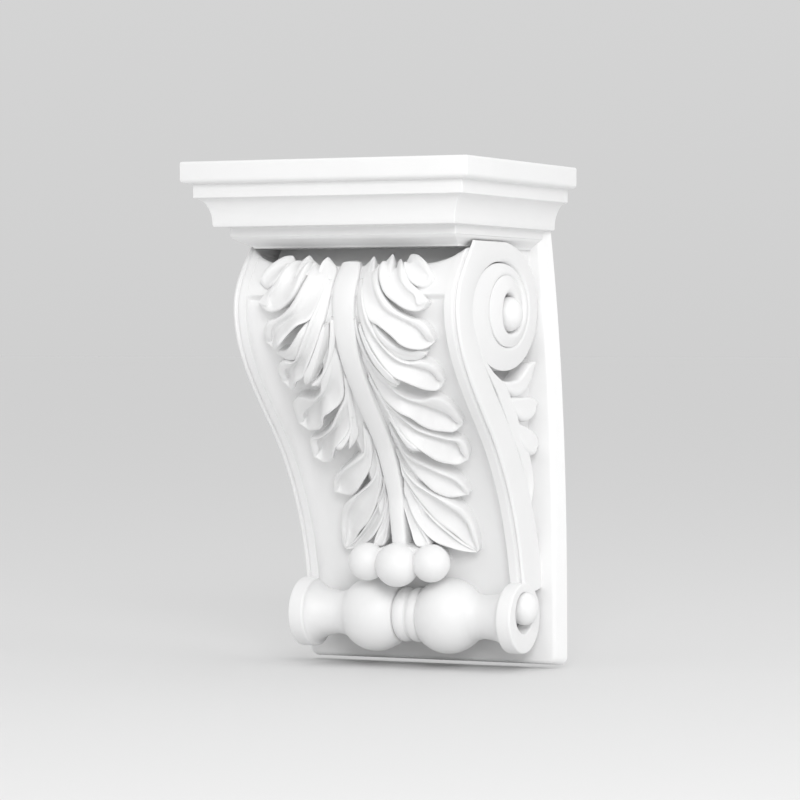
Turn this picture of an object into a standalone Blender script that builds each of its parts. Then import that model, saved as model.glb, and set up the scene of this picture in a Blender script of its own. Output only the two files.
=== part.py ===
"""A moulded corbel: one white casting that holds a shelf or a mantel out from a wall.

+X is the corbel's width, -Y its front and +Z up. The origin is the middle of the flat
back, where the corbel meets the wall. Lengths are metres.
"""

import math

import bmesh
import bpy
import numpy as np
from mathutils import Vector
from mathutils.geometry import interpolate_bezier

# Overall sizes.
HEIGHT = 0.310
CAP_WIDTH = 0.190
CAP_DEPTH = 0.166
CONSOLE_WIDTH = 0.152
BULGE_DEPTH = 0.1348

# Back plate: wide at the bottom, drawn in towards the cap, with drafted sides.
PLATE_THICKNESS = 0.010
PLATE_WIDTH = 0.178
PLATE_TOP_WIDTH = 0.153
PLATE_DRAFT = 0.0044
PLATE_BOTTOM_DRAFT = 0.0015
PLATE_CORNER = 0.005
PLATE_EDGE_ROUND = 0.002
PLATE_LEAN_POWER = 2.5

# Cap: each moulding's height, and how far its face is set back from the fascia.
FASCIA_HEIGHT = 0.0135
FASCIA_TOP_ROUND = 0.0015
FASCIA_NOSE = 0.003
UPPER_FILLET_INSET = 0.0059
UPPER_FILLET_HEIGHT = 0.0081
COVE_HEIGHT = 0.0161
COVE_INSET = 0.0145
SOFFIT_HEIGHT = 0.0015
LOWER_FILLET_HEIGHT = 0.0057
LOWER_FILLET_FRONT_INSET = 0.0273
LOWER_FILLET_SIDE_INSET = 0.0196
BED_MOULD_HEIGHT = 0.0065
BED_MOULD_FRONT_DEPTH = 0.022
BED_MOULD_SIDE_DEPTH = 0.0065

# Console: the S-shaped bracket under the cap.
CONSOLE_TOP_DEPTH = 0.110
CONSOLE_FOOT_DEPTH = 0.035
CONSOLE_TOP_DROP = 0.0021
RIM_WIDTH = 0.010
FIELD_RECESS = 0.008
FIELD_COVE_WIDTH = 0.0085
SIDE_RECESS = 0.009
BAND_WIDTH = 0.0175
BAND_FOOT_WIDTH = 0.0245
EDGE_SOFTENING = 0.0012
OVERLAP = 0.003

# Hollow under the cap: the front rounds back into it over a lip.
LIP_DROP = 0.019
LIP_CLIMB = 0.010
LIP_ROUND = 0.005
HOLLOW_DEPTH = 0.018
HOLLOW_STEEPNESS = 3.0

# S-curve: heights of its knots as shares of the height from the roll to the cap, the
# waist's place as a share of the bulge's reach, and the pull of each knot's handles.
BULGE_PLACE = 0.816
WAIST_PLACE = 0.502
FOOT_PLACE = 0.059
WAIST_REACH = 0.516
SHOULDER_PULL = 0.066
SHOULDER_LEAN = 0.8
BULGE_PULL = 0.110
WAIST_PULL_UP = 0.113
WAIST_PULL_DOWN = 0.107
FOOT_PULL = (0.028, 0.190)
FIELD_TOP = 0.155
FIELD_TOP_STEP = 0.03
BAND_BULGE = 0.172

# Volute: a spiral band on each side, round a domed eye.
VOLUTE_DEPTH_FROM_WALL = 0.064
VOLUTE_DROP = 0.089
VOLUTE_STRETCH = 1.25
VOLUTE_RADII = (0.0588, 0.0415, 0.0396, 0.0365, 0.0432, 0.0275, 0.0255, 0.0232,
                0.0245, 0.0195, 0.0165, 0.0150, 0.0120, 0.0110)
VOLUTE_GROOVE = 0.0006
VOLUTE_PILLOW = 0.0035
VOLUTE_TURNS = 2.25
EYE_RADIUS = 0.0115
EYE_RISE = 0.004
EYE_WALL = 0.004

# Roll at the foot: a turned shape along X, with a hollow and a dome in each end.
ROLL_HEIGHT = 0.0312
ROLL_DEPTH = 0.0362
DISC_RADIUS = 0.0218
DISC_OVAL = 1.10
DISC_THICKNESS = 0.010
BULB_RADIUS = 0.0236
BULB_SPACING = 0.0248
NECK_RADIUS = 0.0135
NECK_PLACE = 0.047
COLLAR_RADIUS = 0.017
COLLAR_WIDTH = 0.017
END_HOLLOW_RADIUS = 0.0125
END_HOLLOW_DEPTH = 0.006
END_DOME_RADIUS = 0.0105

# Berries under the leaf.
BERRY_RADIUS = 0.0137
SIDE_BERRY_RADIUS = 0.0118
BERRY_SPACING = 0.0218
BERRY_HEIGHT = 0.0636
BERRY_DEPTH = 0.060
SIDE_BERRY_SETBACK = 0.003
SIDE_BERRY_LIFT = 0.0014
BOSS_LIFT = 0.006

# Leaf: lengths along the front are shares of the S-curve, widths are shares of the
# sunk field's half width, and heights are shares of the leaf's rise over the field.
STEM_TOP_WIDTH = 0.016
STEM_FOOT_WIDTH = 0.0105
STEM_RISE = 0.0115
SPOUT_START = 0.62
SPOUT_END = 0.86
SPOUT_LIFT = 0.012
LEAF_RISE = 0.020
LOBE_TILT = 0.0055
LOBE_HOLLOW = 0.0012
LOBE_ROUNDING = 0.0022
LOBE_SHOULDER = 0.64
LOBE_CREST = 0.58
GROUND_WIDTH = 0.048
GROUND_TAPER = 0.2
GROUND_SECTION = ((1.0, 0.25), (0.8, 0.48), (0.35, 0.42))
HUSK_RISE = 0.010

WHITE = (0.86, 0.86, 0.85, 1.0)
ROUGHNESS = 0.45
SHARP_ANGLE = math.radians(35)

TOP = HEIGHT / 2
BOTTOM = -HEIGHT / 2
HALF_CONSOLE = CONSOLE_WIDTH / 2
HALF_FIELD = HALF_CONSOLE - RIM_WIDTH
HALF_CORE = HALF_CONSOLE - SIDE_RECESS
ROLL_AXIS_Z = BOTTOM + ROLL_HEIGHT
VOLUTE_CENTRE_Z = TOP - VOLUTE_DROP
CAP_SPRING_Z = (TOP - FASCIA_HEIGHT - UPPER_FILLET_HEIGHT - COVE_HEIGHT
                - SOFFIT_HEIGHT - LOWER_FILLET_HEIGHT)


def clear_scene():
    """Remove whatever the file opened with."""
    for item in list(bpy.data.objects):
        bpy.data.objects.remove(item, do_unlink=True)


def white_casting():
    """The one material: smooth white primed casting."""
    material = bpy.data.materials.new("white_casting")
    material.use_nodes = True
    shader = material.node_tree.nodes["Principled BSDF"]
    shader.inputs["Base Color"].default_value = WHITE
    shader.inputs["Roughness"].default_value = ROUGHNESS
    shader.inputs["Metallic"].default_value = 0.0
    return material


def solid(name, points, faces):
    """A mesh object from points and faces."""
    mesh = bpy.data.meshes.new(name)
    mesh.from_pydata([tuple(map(float, point)) for point in points], [], faces)
    item = bpy.data.objects.new(name, mesh)
    bpy.context.collection.objects.link(item)
    return item


def loft(name, rings, flip=False):
    """A closed solid through rings of equal length, with flat ends."""
    count = len(rings[0])
    points = [point for ring in rings for point in ring]
    faces = []
    for level in range(len(rings) - 1):
        low, high = level * count, (level + 1) * count
        for step in range(count):
            after = (step + 1) % count
            faces.append((low + step, low + after, high + after, high + step))
    last = (len(rings) - 1) * count
    faces.append(tuple(range(count))[::-1])
    faces.append(tuple(last + step for step in range(count)))
    if flip:
        faces = [face[::-1] for face in faces]
    return solid(name, points, faces)


def arc(centre, radius, start, end, steps):
    """Points on an arc, from one angle to another in degrees."""
    angles = np.radians(np.linspace(start, end, steps + 1))
    return [(centre[0] + radius * math.cos(a), centre[1] + radius * math.sin(a)) for a in angles]


def bezier(start, start_handle, end_handle, end, steps):
    """Points on a cubic curve between two knots in the Y-Z plane."""
    knots = [Vector((p[0], p[1], 0.0)) for p in (start, start_handle, end_handle, end)]
    return [(p.x, p.y) for p in interpolate_bezier(*knots, steps + 1)]


def smooth_step(value):
    """0 below 0, 1 above 1 and a smooth rise between."""
    value = np.clip(value, 0.0, 1.0)
    return value * value * (3 - 2 * value)


# The console's side outline, from under the cap down to the roll, as (y, z).
def side_outline():
    """The S-curve: a round bulge above, a slower hollow below."""
    span = CAP_SPRING_Z - ROLL_AXIS_Z
    bulge_z = ROLL_AXIS_Z + BULGE_PLACE * span
    waist_z = ROLL_AXIS_Z + WAIST_PLACE * span
    foot_z = ROLL_AXIS_Z + FOOT_PLACE * span
    waist_y = -(CONSOLE_FOOT_DEPTH + WAIST_REACH * (BULGE_DEPTH - CONSOLE_FOOT_DEPTH))
    top = (-CONSOLE_TOP_DEPTH, CAP_SPRING_Z - CONSOLE_TOP_DROP)
    bulge = (-BULGE_DEPTH, bulge_z)
    waist = (waist_y, waist_z)
    foot = (-CONSOLE_FOOT_DEPTH, foot_z)
    shoulder = SHOULDER_PULL * span
    up, down = WAIST_PULL_UP * span, WAIST_PULL_DOWN * span
    upper = bezier(top, (top[0] - SHOULDER_LEAN * shoulder, top[1] - shoulder),
                   (bulge[0], bulge_z + shoulder), bulge, 14)
    middle = bezier(bulge, (bulge[0], bulge_z - BULGE_PULL * span),
                    (waist_y - up, waist_z + up), waist, 18)
    lower = bezier(waist, (waist_y + down, waist_z - down),
                   (foot[0] - FOOT_PULL[0] * span, foot_z + FOOT_PULL[1] * span), foot, 18)
    return np.array(upper + middle[1:] + lower[1:])


OUTLINE = side_outline()
STEPS = np.hypot(*np.diff(OUTLINE, axis=0).T)
ARC = np.concatenate([[0.0], np.cumsum(STEPS)])
ARC_LENGTH = ARC[-1]
SLOPE = np.gradient(OUTLINE, ARC, axis=0)


def on_outline(share):
    """The outline's point and outward normal at a share of its length."""
    along = np.clip(share, 0.0, 1.0) * ARC_LENGTH
    point = np.array([np.interp(along, ARC, OUTLINE[:, k]) for k in range(2)])
    slope = np.array([np.interp(along, ARC, SLOPE[:, k]) for k in range(2)])
    slope /= np.linalg.norm(slope)
    overrun = (share - np.clip(share, 0.0, 1.0)) * ARC_LENGTH
    return point + slope * overrun, np.array([slope[1], -slope[0]])


def on_front(x, share, height):
    """A point over the front: height is measured out from the sunk field."""
    point, normal = on_outline(share)
    y, z = point + normal * (height - FIELD_RECESS)
    return (x, y, z)


def cap():
    """The moulded cap: one rectangle for each level, mitred at the front corners."""
    levels = []
    for y, up in arc((FASCIA_TOP_ROUND, -FASCIA_TOP_ROUND), FASCIA_TOP_ROUND, 90, 180, 2):
        levels.append((TOP + up, y, y))
    nose_z = TOP - FASCIA_HEIGHT + FASCIA_NOSE
    for y, up in arc((FASCIA_NOSE, 0), FASCIA_NOSE, 180, 255, 3):
        levels.append((nose_z + up, y, y))
    z = TOP - FASCIA_HEIGHT
    levels.append((z, UPPER_FILLET_INSET, UPPER_FILLET_INSET))
    z -= UPPER_FILLET_HEIGHT
    cove_run = COVE_INSET - UPPER_FILLET_INSET
    for step in np.linspace(0, math.pi / 2, 6):
        inset = UPPER_FILLET_INSET + cove_run * math.sin(step)
        levels.append((z - COVE_HEIGHT * (1 - math.cos(step)), inset, inset))
    z -= COVE_HEIGHT + SOFFIT_HEIGHT
    levels.append((z, LOWER_FILLET_SIDE_INSET, LOWER_FILLET_FRONT_INSET))
    z -= LOWER_FILLET_HEIGHT
    for step in np.linspace(0, 1, 5):
        swell = smooth_step(step)
        levels.append((z - BED_MOULD_HEIGHT * step,
                       LOWER_FILLET_SIDE_INSET + BED_MOULD_SIDE_DEPTH * swell,
                       LOWER_FILLET_FRONT_INSET + BED_MOULD_FRONT_DEPTH * swell))
    rings = []
    for level_z, side, front in levels:
        x, y = CAP_WIDTH / 2 - side, -(CAP_DEPTH - front)
        rings.append([(-x, y, level_z), (x, y, level_z), (x, 0.0, level_z), (-x, 0.0, level_z)])
    return loft("cap", rings, flip=True)


def plate():
    """The back plate, cut flat where it meets the wall."""
    top_z = CAP_SPRING_Z + LOWER_FILLET_HEIGHT + SOFFIT_HEIGHT + COVE_HEIGHT / 2
    rings = []
    soft = arc((PLATE_EDGE_ROUND - PLATE_THICKNESS, 0), PLATE_EDGE_ROUND, 90, 180, 2)
    levels = [(0.0, 0.0)]
    for y, inset in soft:
        levels.append((y, PLATE_EDGE_ROUND - inset))
    for y, inset in levels:
        draft = -y / PLATE_THICKNESS
        bottom = BOTTOM + PLATE_BOTTOM_DRAFT * draft + inset
        half = PLATE_WIDTH / 2 - PLATE_DRAFT * draft - inset
        top_half = PLATE_TOP_WIDTH / 2 - PLATE_DRAFT * draft - inset
        radius = max(PLATE_CORNER - inset, PLATE_CORNER / 4)
        right = arc((half - radius, bottom + radius), radius, -90, 0, 3)
        start = bottom + radius
        for share in np.linspace(0, 1, 9)[1:]:
            lean = (half - top_half) * share ** PLATE_LEAN_POWER
            right.append((half - lean, start + (top_z - start) * share))
        left = [(-x, z) for x, z in reversed(right)]
        rings.append([(x, y, z) for x, z in right + left])
    return loft("plate", rings)


def hollow(x, share):
    """How far the front is sunk under the cap: nothing below the lip, then ever steeper."""
    lip = LIP_DROP - LIP_CLIMB * abs(x / HALF_CONSOLE) ** 3
    past = max(lip - share * ARC_LENGTH, 0.0)
    bend = min(past, LIP_ROUND)
    return min(bend * bend / (2 * LIP_ROUND) + HOLLOW_STEEPNESS * (past - bend), HOLLOW_DEPTH)


def core():
    """The console's block: its sunk field in front, plain sides, and the wall side."""
    back = -PLATE_THICKNESS / 2
    rim = FIELD_RECESS - EDGE_SOFTENING / 4
    flat = HALF_FIELD - FIELD_COVE_WIDTH
    right = [(flat * share, 0.0) for share in (0.0, 0.6)]
    right += [(flat + FIELD_COVE_WIDTH * math.sin(angle), rim * (1 - math.cos(angle)))
              for angle in np.radians((0, 35, 65, 90))]
    right.append((HALF_CORE, rim))
    section = [(-x, height) for x, height in reversed(right[1:])] + right
    shares = np.concatenate([np.linspace(-0.10, FIELD_TOP - FIELD_TOP_STEP, 9),
                             np.linspace(FIELD_TOP, 1.0, 14)])
    rings = []
    for share in shares:
        sunk = float(smooth_step((share - FIELD_TOP + FIELD_TOP_STEP) / FIELD_TOP_STEP))
        front = [on_front(x, share, rim + (height - rim) * sunk - hollow(x, share))
                 for x, height in section]
        z = front[0][2]
        rings.append([(-HALF_CORE, back, z)] + front + [(HALF_CORE, back, z)])
    foot_y = -CONSOLE_FOOT_DEPTH + FIELD_RECESS
    for drop, reach in ((0.0, 1.0), (0.45, 0.8), (0.85, 0.35)):
        y, z = min(foot_y * reach, back - EDGE_SOFTENING), ROLL_AXIS_Z - NECK_RADIUS * drop
        ring = [(-HALF_CORE, back, z)] + [(x, y, z) for x, height in section]
        rings.append(ring + [(HALF_CORE, back, z)])
    return loft("core", rings)


def volute_radius(turn):
    """The spiral's radius, a smooth curve through one radius for each quarter turn."""
    quarters = np.arange(len(VOLUTE_RADII)) / 4 - 0.25
    radii = np.array(VOLUTE_RADII)
    slopes = np.gradient(radii, quarters)
    k = int(np.clip(np.searchsorted(quarters, turn) - 1, 0, len(radii) - 2))
    width = quarters[k + 1] - quarters[k]
    t = (turn - quarters[k]) / width
    return ((2 * t ** 3 - 3 * t ** 2 + 1) * radii[k] + (t ** 3 - 2 * t ** 2 + t) * width * slopes[k]
            + (3 * t ** 2 - 2 * t ** 3) * radii[k + 1] + (t ** 3 - t ** 2) * width * slopes[k + 1])


def volute_point(turn, radius):
    """A point round the volute's centre; turn 0 is straight up and turns run to the wall."""
    angle = 2 * math.pi * turn
    y = -VOLUTE_DEPTH_FROM_WALL + VOLUTE_STRETCH * radius * math.sin(angle)
    z = VOLUTE_CENTRE_Z + radius * math.cos(angle)
    return y, z


def band_sections(turns_per_step):
    """Outer and inner edge of the band, from the roll up the S and round the spiral."""
    sections = []
    for share in np.linspace(1.0, BAND_BULGE, 20)[:-1]:
        outer, normal = on_outline(share)
        grow = smooth_step((share - 0.30) / 0.65)
        width = BAND_WIDTH + (BAND_FOOT_WIDTH - BAND_WIDTH) * grow
        sections.append((tuple(outer), tuple(outer - normal * width), 0.0))
    for turn in np.arange(-0.25, VOLUTE_TURNS + turns_per_step / 2, turns_per_step):
        if turn < 0:
            share = BAND_BULGE * (-turn / 0.25)
            outer, normal = on_outline(share)
            outer = tuple(outer)
        else:
            outer = volute_point(turn, volute_radius(turn))
        inner_radius = volute_radius(min(turn + 1, 3.0)) + VOLUTE_GROOVE
        sections.append((outer, volute_point(turn, inner_radius), smooth_step(turn / 0.3)))
    return sections


def band(side):
    """The raised band: the front's rim, the side's edge and the volute in one strip."""
    rings = []
    inside = HALF_FIELD
    deep = HALF_CORE - OVERLAP
    for outer, inner, curl in band_sections(1 / 13):
        outer, inner = np.array(outer), np.array(inner)
        across = inner - outer
        width = np.linalg.norm(across)
        across /= width
        start = inside + (deep - inside) * curl
        fall = EDGE_SOFTENING + (VOLUTE_PILLOW - EDGE_SOFTENING) * curl
        profile = [(0.0, start), (0.0, HALF_CONSOLE - fall), (0.12 * width, HALF_CONSOLE),
                   (0.70 * width, HALF_CONSOLE), (width, HALF_CONSOLE - VOLUTE_PILLOW), (width, deep)]
        ring = []
        for distance, x in profile:
            y, z = outer + across * distance
            ring.append((side * x, y, z))
        rings.append(ring)
    return loft("band", rings, flip=side < 0)


def eye(side):
    """The volute's domed eye."""
    rings = []
    centre_y, centre_z = -VOLUTE_DEPTH_FROM_WALL, VOLUTE_CENTRE_Z
    wall = HALF_CONSOLE - EYE_WALL
    dome = EYE_RISE + EYE_WALL
    for radius, x in ((1.0, HALF_CORE - OVERLAP), (1.0, wall), (0.92, wall + 0.45 * dome),
                      (0.66, wall + 0.8 * dome), (0.30, wall + dome)):
        rings.append([(side * x, centre_y + EYE_RADIUS * radius * math.cos(a),
                       centre_z + EYE_RADIUS * radius * math.sin(a))
                      for a in np.linspace(0, 2 * math.pi, 16, endpoint=False)])
    return loft("eye", rings, flip=side < 0)


def roll_profile():
    """Radius along the roll's right half, from the middle out to the end."""
    inner_face = HALF_CONSOLE - DISC_THICKNESS
    ring = COLLAR_WIDTH / 4
    profile = [(0.0, COLLAR_RADIUS - ring / 2)]
    for angle in np.radians((130, 90, 50)):
        profile.append((ring * (1 + math.cos(angle)), COLLAR_RADIUS - ring / 2 * (1 - math.sin(angle))))
    profile.append((2 * ring, COLLAR_RADIUS - ring / 2))
    start = math.degrees(math.acos((BULB_SPACING - 2 * ring) / BULB_RADIUS))
    finish = math.degrees(math.asin(NECK_RADIUS / BULB_RADIUS)) + 6
    profile += arc((BULB_SPACING, 0.0), BULB_RADIUS, 180 - start, finish, 5)
    flare = arc((NECK_PLACE, DISC_RADIUS), DISC_RADIUS - NECK_RADIUS, -90, -8, 3)
    stretch = (inner_face - NECK_PLACE) / (flare[-1][0] - NECK_PLACE)
    profile += [(NECK_PLACE + (x - NECK_PLACE) * stretch, radius) for x, radius in flare]
    profile.append((inner_face + EDGE_SOFTENING, DISC_RADIUS))
    profile.append((HALF_CONSOLE - EDGE_SOFTENING, DISC_RADIUS))
    profile.append((HALF_CONSOLE, DISC_RADIUS - EDGE_SOFTENING))
    profile.append((HALF_CONSOLE, END_HOLLOW_RADIUS))
    floor = HALF_CONSOLE - END_HOLLOW_DEPTH
    profile += [(floor + END_HOLLOW_DEPTH * math.sin(angle), END_DOME_RADIUS * math.cos(angle))
                for angle in np.radians((0, 35, 68))]
    return profile


def roll():
    """The turned roll across the foot; its end discs are a little deeper than tall."""
    right = roll_profile()
    profile = [(-x, r) for x, r in reversed(right[1:])] + right
    rings = []
    for x, radius in profile:
        outward = (abs(x) - NECK_PLACE) / (HALF_CONSOLE - DISC_THICKNESS - NECK_PLACE)
        depth = radius * (1 + (DISC_OVAL - 1) * float(smooth_step(outward)))
        rings.append([(x, -ROLL_DEPTH + depth * math.cos(a), ROLL_AXIS_Z + radius * math.sin(a))
                      for a in np.linspace(0, 2 * math.pi, 20, endpoint=False)])
    return loft("roll", rings)


def ball(name, radius, centre):
    """A berry."""
    rings = []
    for tilt in np.radians((-80, -55, -28, 0, 28, 55, 80)):
        rings.append([(centre[0] + radius * math.cos(tilt) * math.cos(a),
                       centre[1] + radius * math.cos(tilt) * math.sin(a),
                       centre[2] + radius * math.sin(tilt))
                      for a in np.linspace(0, 2 * math.pi, 16, endpoint=False)])
    return loft(name, rings)


def berries():
    """Three berries and the boss that carries them, out of sight behind."""
    z = BOTTOM + BERRY_HEIGHT
    side_y = -BERRY_DEPTH + SIDE_BERRY_SETBACK
    made = [ball("middle_berry", BERRY_RADIUS, (0.0, -BERRY_DEPTH, z))]
    for side in (-1, 1):
        centre = (side * BERRY_SPACING, side_y, z + SIDE_BERRY_LIFT)
        made.append(ball("side_berry", SIDE_BERRY_RADIUS, centre))
    rings = []
    start_y = -CONSOLE_FOOT_DEPTH + 2 * FIELD_RECESS
    for share in (0.0, 0.35, 0.7, 1.0):
        y = start_y - (BERRY_DEPTH + start_y) * share
        wide = BERRY_SPACING * (1.25 - 0.35 * share)
        tall = BERRY_RADIUS * (1.0 - 0.3 * share)
        rings.append([(wide * math.cos(a), y, z + BOSS_LIFT + tall * math.sin(a))
                      for a in np.linspace(0, 2 * math.pi, 14, endpoint=False)])
    made.append(loft("berry_boss", rings))
    return made


def spout(share):
    """How far the leaf's foot stands off the field as it nears the berries."""
    return SPOUT_LIFT * float(smooth_step((share - SPOUT_START) / (SPOUT_END - SPOUT_START)))


def stem():
    """The leaf's round stem, from under the cap to the berries."""
    rings = []
    for share in np.linspace(0.06, 0.90, 16):
        half = (STEM_TOP_WIDTH + (STEM_FOOT_WIDTH - STEM_TOP_WIDTH) * float(smooth_step(share))) / 2
        lift = spout(share)
        ring = [on_front(half, share, -OVERLAP)]
        for angle in np.radians((0, 35, 65, 90, 115, 145, 180)):
            height = FIELD_RECESS + (STEM_RISE - FIELD_RECESS) * math.sin(angle) + lift
            ring.append(on_front(half * math.cos(angle), share, height))
        ring.append(on_front(-half, share, -OVERLAP))
        rings.append(ring)
    return loft("stem", rings)


def lobe(place, root, bend, tip, half_width, heights, tilt):
    """The rings of a lobe: a curved blade with rounded edges, a hollow and a rounded tip.

    root, bend and tip are the centre line's knots in the surface's own two lengths, and
    heights are the crest's heights at the root, at the crest and at the tip. One edge lies
    lower than the other by the tilt, so that lobes overlap like shingles.
    """
    root, bend, tip = (np.array(knot, float) for knot in (root, bend, tip))
    rings = []
    for t in (0.0, 0.26, 0.50, 0.72, 0.90, 0.985):
        centre = (1 - t) ** 2 * root + 2 * t * (1 - t) * bend + t ** 2 * tip
        run = 2 * (1 - t) * (bend - root) + 2 * t * (tip - bend)
        run /= np.linalg.norm(run)
        across = np.array([-run[1], run[0]])
        swell = 0.42 + 0.58 * math.sin(math.pi * min(t / LOBE_SHOULDER, 1.0) / 2)
        past = max(t - LOBE_SHOULDER, 0.0) / (1 - LOBE_SHOULDER)
        half = half_width * swell * math.sqrt(1 - past ** 2.4)
        rise = float(smooth_step(t / LOBE_CREST))
        fall = max(t - LOBE_CREST, 0.0) / (1 - LOBE_CREST)
        crest = heights[0] + (heights[1] - heights[0]) * rise + (heights[2] - heights[1]) * fall ** 2
        lean = tilt * math.sin(math.pi * t) ** 2
        dip = LOBE_HOLLOW * math.sin(math.pi * t)
        left, right = centre - across * half, centre + across * half
        ring = [place(left[0], left[1], -OVERLAP)]
        for v, drop in ((-1.0, LOBE_ROUNDING), (-0.6, 0.0), (-0.1, dip), (0.6, 0.0), (1.0, LOBE_ROUNDING)):
            u, s = centre + across * half * v
            ring.append(place(u, s, crest - lean * (1 - v) / 2 - drop))
        ring.append(place(right[0], right[1], -OVERLAP))
        rings.append(ring)
    return rings


# Right-hand lobes: name, root, bend and tip as (share of the half field, share of the
# S-curve), then half width and the heights at root, crest and tip as shares of the rise.
LOBES = (
    ("crown", (0.55, 0.062), (0.66, 0.108), (0.87, 0.131), 0.28, (0.50, 0.78, 0.50)),
    ("shoulder", (0.38, 0.064), (0.44, 0.150), (0.84, 0.186), 0.38, (0.45, 0.90, 0.50)),
    ("first", (0.24, 0.068), (0.30, 0.225), (0.84, 0.276), 0.45, (0.45, 0.98, 0.26)),
    ("second", (0.16, 0.080), (0.24, 0.325), (0.82, 0.396), 0.47, (0.45, 0.95, 0.26)),
    ("first_fold", (0.12, 0.175), (0.18, 0.31), (0.45, 0.378), 0.24, (0.42, 0.82, 0.68)),
    ("third", (0.13, 0.256), (0.20, 0.46), (0.82, 0.535), 0.48, (0.42, 0.86, 0.26)),
    ("fourth", (0.14, 0.400), (0.23, 0.575), (0.80, 0.632), 0.46, (0.42, 0.92, 0.34)),
    ("second_fold", (0.11, 0.365), (0.16, 0.50), (0.29, 0.572), 0.19, (0.42, 0.78, 0.76)),
    ("fifth", (0.12, 0.535), (0.22, 0.675), (0.69, 0.738), 0.37, (0.46, 0.74, 0.35)),
    ("sixth_upper", (0.10, 0.615), (0.20, 0.765), (0.68, 0.888), 0.44, (0.50, 0.72, 0.40)),
    ("sixth_lower", (0.09, 0.668), (0.16, 0.840), (0.63, 0.888), 0.36, (0.55, 0.92, 0.50)),
    ("inner", (0.07, 0.710), (0.10, 0.810), (0.26, 0.868), 0.20, (0.70, 1.10, 1.05)),
)


def leaf_ground():
    """The thick middle of the leaf, which the lobes grow out of."""
    rings = []
    for share in np.linspace(0.07, 0.93, 12):
        half = GROUND_WIDTH / 2 * (1 - GROUND_TAPER * float(smooth_step((share - 0.5) / 0.5)))
        lift = spout(share)
        section = [(half * wide, rise * LEAF_RISE + lift) for wide, rise in GROUND_SECTION]
        right = [(half, -OVERLAP)] + section
        left = [(-x, h) for x, h in reversed(right)]
        rings.append([on_front(x, share, height) for x, height in right + left])
    return loft("leaf_ground", rings)


def leaf():
    """The leaf's lobes, the same to the left and to the right of the stem."""
    made = [leaf_ground()]
    for name, root, bend, tip, half_width, heights in LOBES:
        knots = [(u * HALF_FIELD, s * ARC_LENGTH) for u, s in (root, bend, tip)]
        half = half_width * LEAF_RISE
        rises = [height * LEAF_RISE for height in heights]
        for side in (-1, 1):
            def place(u, s, height, side=side):
                return on_front(side * u, s / ARC_LENGTH, height)
            rings = lobe(place, *knots, half, rises, LOBE_TILT)
            made.append(loft(name, rings, flip=side < 0))
    return made


# Husks on each side, under the volute, and the stem that they hang from: root, bend and
# tip as (share of the volute's depth from the wall, share of the drop from the volute's
# centre to the roll), then half width and heights as shares of the rise.
HUSKS = (
    ("husk", (1.02, 0.240), (0.60, 0.275), (0.22, 0.190), 0.62, (0.60, 0.95, 0.92)),
    ("husk", (0.88, 0.305), (0.55, 0.365), (0.20, 0.312), 0.62, (0.60, 0.95, 0.90)),
    ("husk", (0.80, 0.365), (0.50, 0.435), (0.17, 0.445), 0.66, (0.60, 0.95, 0.86)),
    ("husk_stem", (1.34, 0.180), (0.90, 0.380), (0.38, 0.630), 0.60, (0.55, 0.72, 0.30)),
)


def husks(side):
    """The three husks and their stem, on one side of the console."""
    drop = VOLUTE_CENTRE_Z - ROLL_AXIS_Z
    made = []
    for name, root, bend, tip, half_width, heights in HUSKS:
        def place(u, s, height):
            return (side * (HALF_CORE + height), -u, VOLUTE_CENTRE_Z - s)
        knots = [(u * VOLUTE_DEPTH_FROM_WALL, s * drop) for u, s in (root, bend, tip)]
        rises = [height * HUSK_RISE for height in heights]
        rings = lobe(place, *knots, half_width * HUSK_RISE, rises, 0.0)
        made.append(loft(name, rings, flip=side > 0))
    return made


def shells(body):
    """The separate closed skins of a mesh, each as a list of its faces."""
    left = set(body.faces)
    found = []
    while left:
        skin = [left.pop()]
        for face in skin:
            for edge in face.edges:
                for other in edge.link_faces:
                    if other in left:
                        left.remove(other)
                        skin.append(other)
        found.append(skin)
    return found


def skin_volume(skin):
    """A skin's volume, below nothing where its faces look inwards."""
    volume = 0.0
    for face in skin:
        first, *others = [vert.co for vert in face.verts]
        for second, third in zip(others, others[1:]):
            volume += first.dot(second.cross(third)) / 6
    return volume


def corbel():
    """All the forms joined into the one casting, with no pocket sealed inside it."""
    forms = [cap(), plate(), roll(), stem()] + berries() + leaf()
    for side in (-1, 1):
        forms += [band(side), eye(side)] + husks(side)
    block = core()
    guides = bpy.data.collections.new("joined_forms")
    bpy.context.scene.collection.children.link(guides)
    for form in forms:
        bpy.context.collection.objects.unlink(form)
        guides.objects.link(form)
        form.hide_render = True
        form.display_type = "WIRE"
    join = block.modifiers.new("join", "BOOLEAN")
    join.operation = "UNION"
    join.solver = "EXACT"
    join.operand_type = "COLLECTION"
    join.collection = guides
    joined = block.evaluated_get(bpy.context.evaluated_depsgraph_get())
    mesh = bpy.data.meshes.new_from_object(joined)
    body = bmesh.new()
    body.from_mesh(mesh)
    pockets = [face for skin in shells(body) if skin_volume(skin) < 0 for face in skin]
    bmesh.ops.delete(body, geom=pockets, context="FACES")
    body.to_mesh(mesh)
    body.free()
    for form in forms + [block]:
        bpy.data.objects.remove(form, do_unlink=True)
    bpy.data.collections.remove(guides)
    mesh.name = "corbel"
    mesh.materials.clear()
    mesh.materials.append(white_casting())
    mesh.shade_smooth()
    mesh.set_sharp_from_angle(angle=SHARP_ANGLE)
    casting = bpy.data.objects.new("corbel", mesh)
    bpy.context.collection.objects.link(casting)
    return casting


clear_scene()
corbel()
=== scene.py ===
# %% [markdown]
# # A moulded corbel
# A corbel is a bracket that stands out from a wall and carries a shelf, a beam or a mantel.
# This one is a single white casting. Here the plain solid of the model is dressed with the
# fine carving that the casting shows. The model is loaded first and is never moved: every
# new surface is worked out in the same frame, with X across, -Y to the front and Z up, and
# the origin in the middle of the flat back.

# %% Load the model
import math

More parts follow.
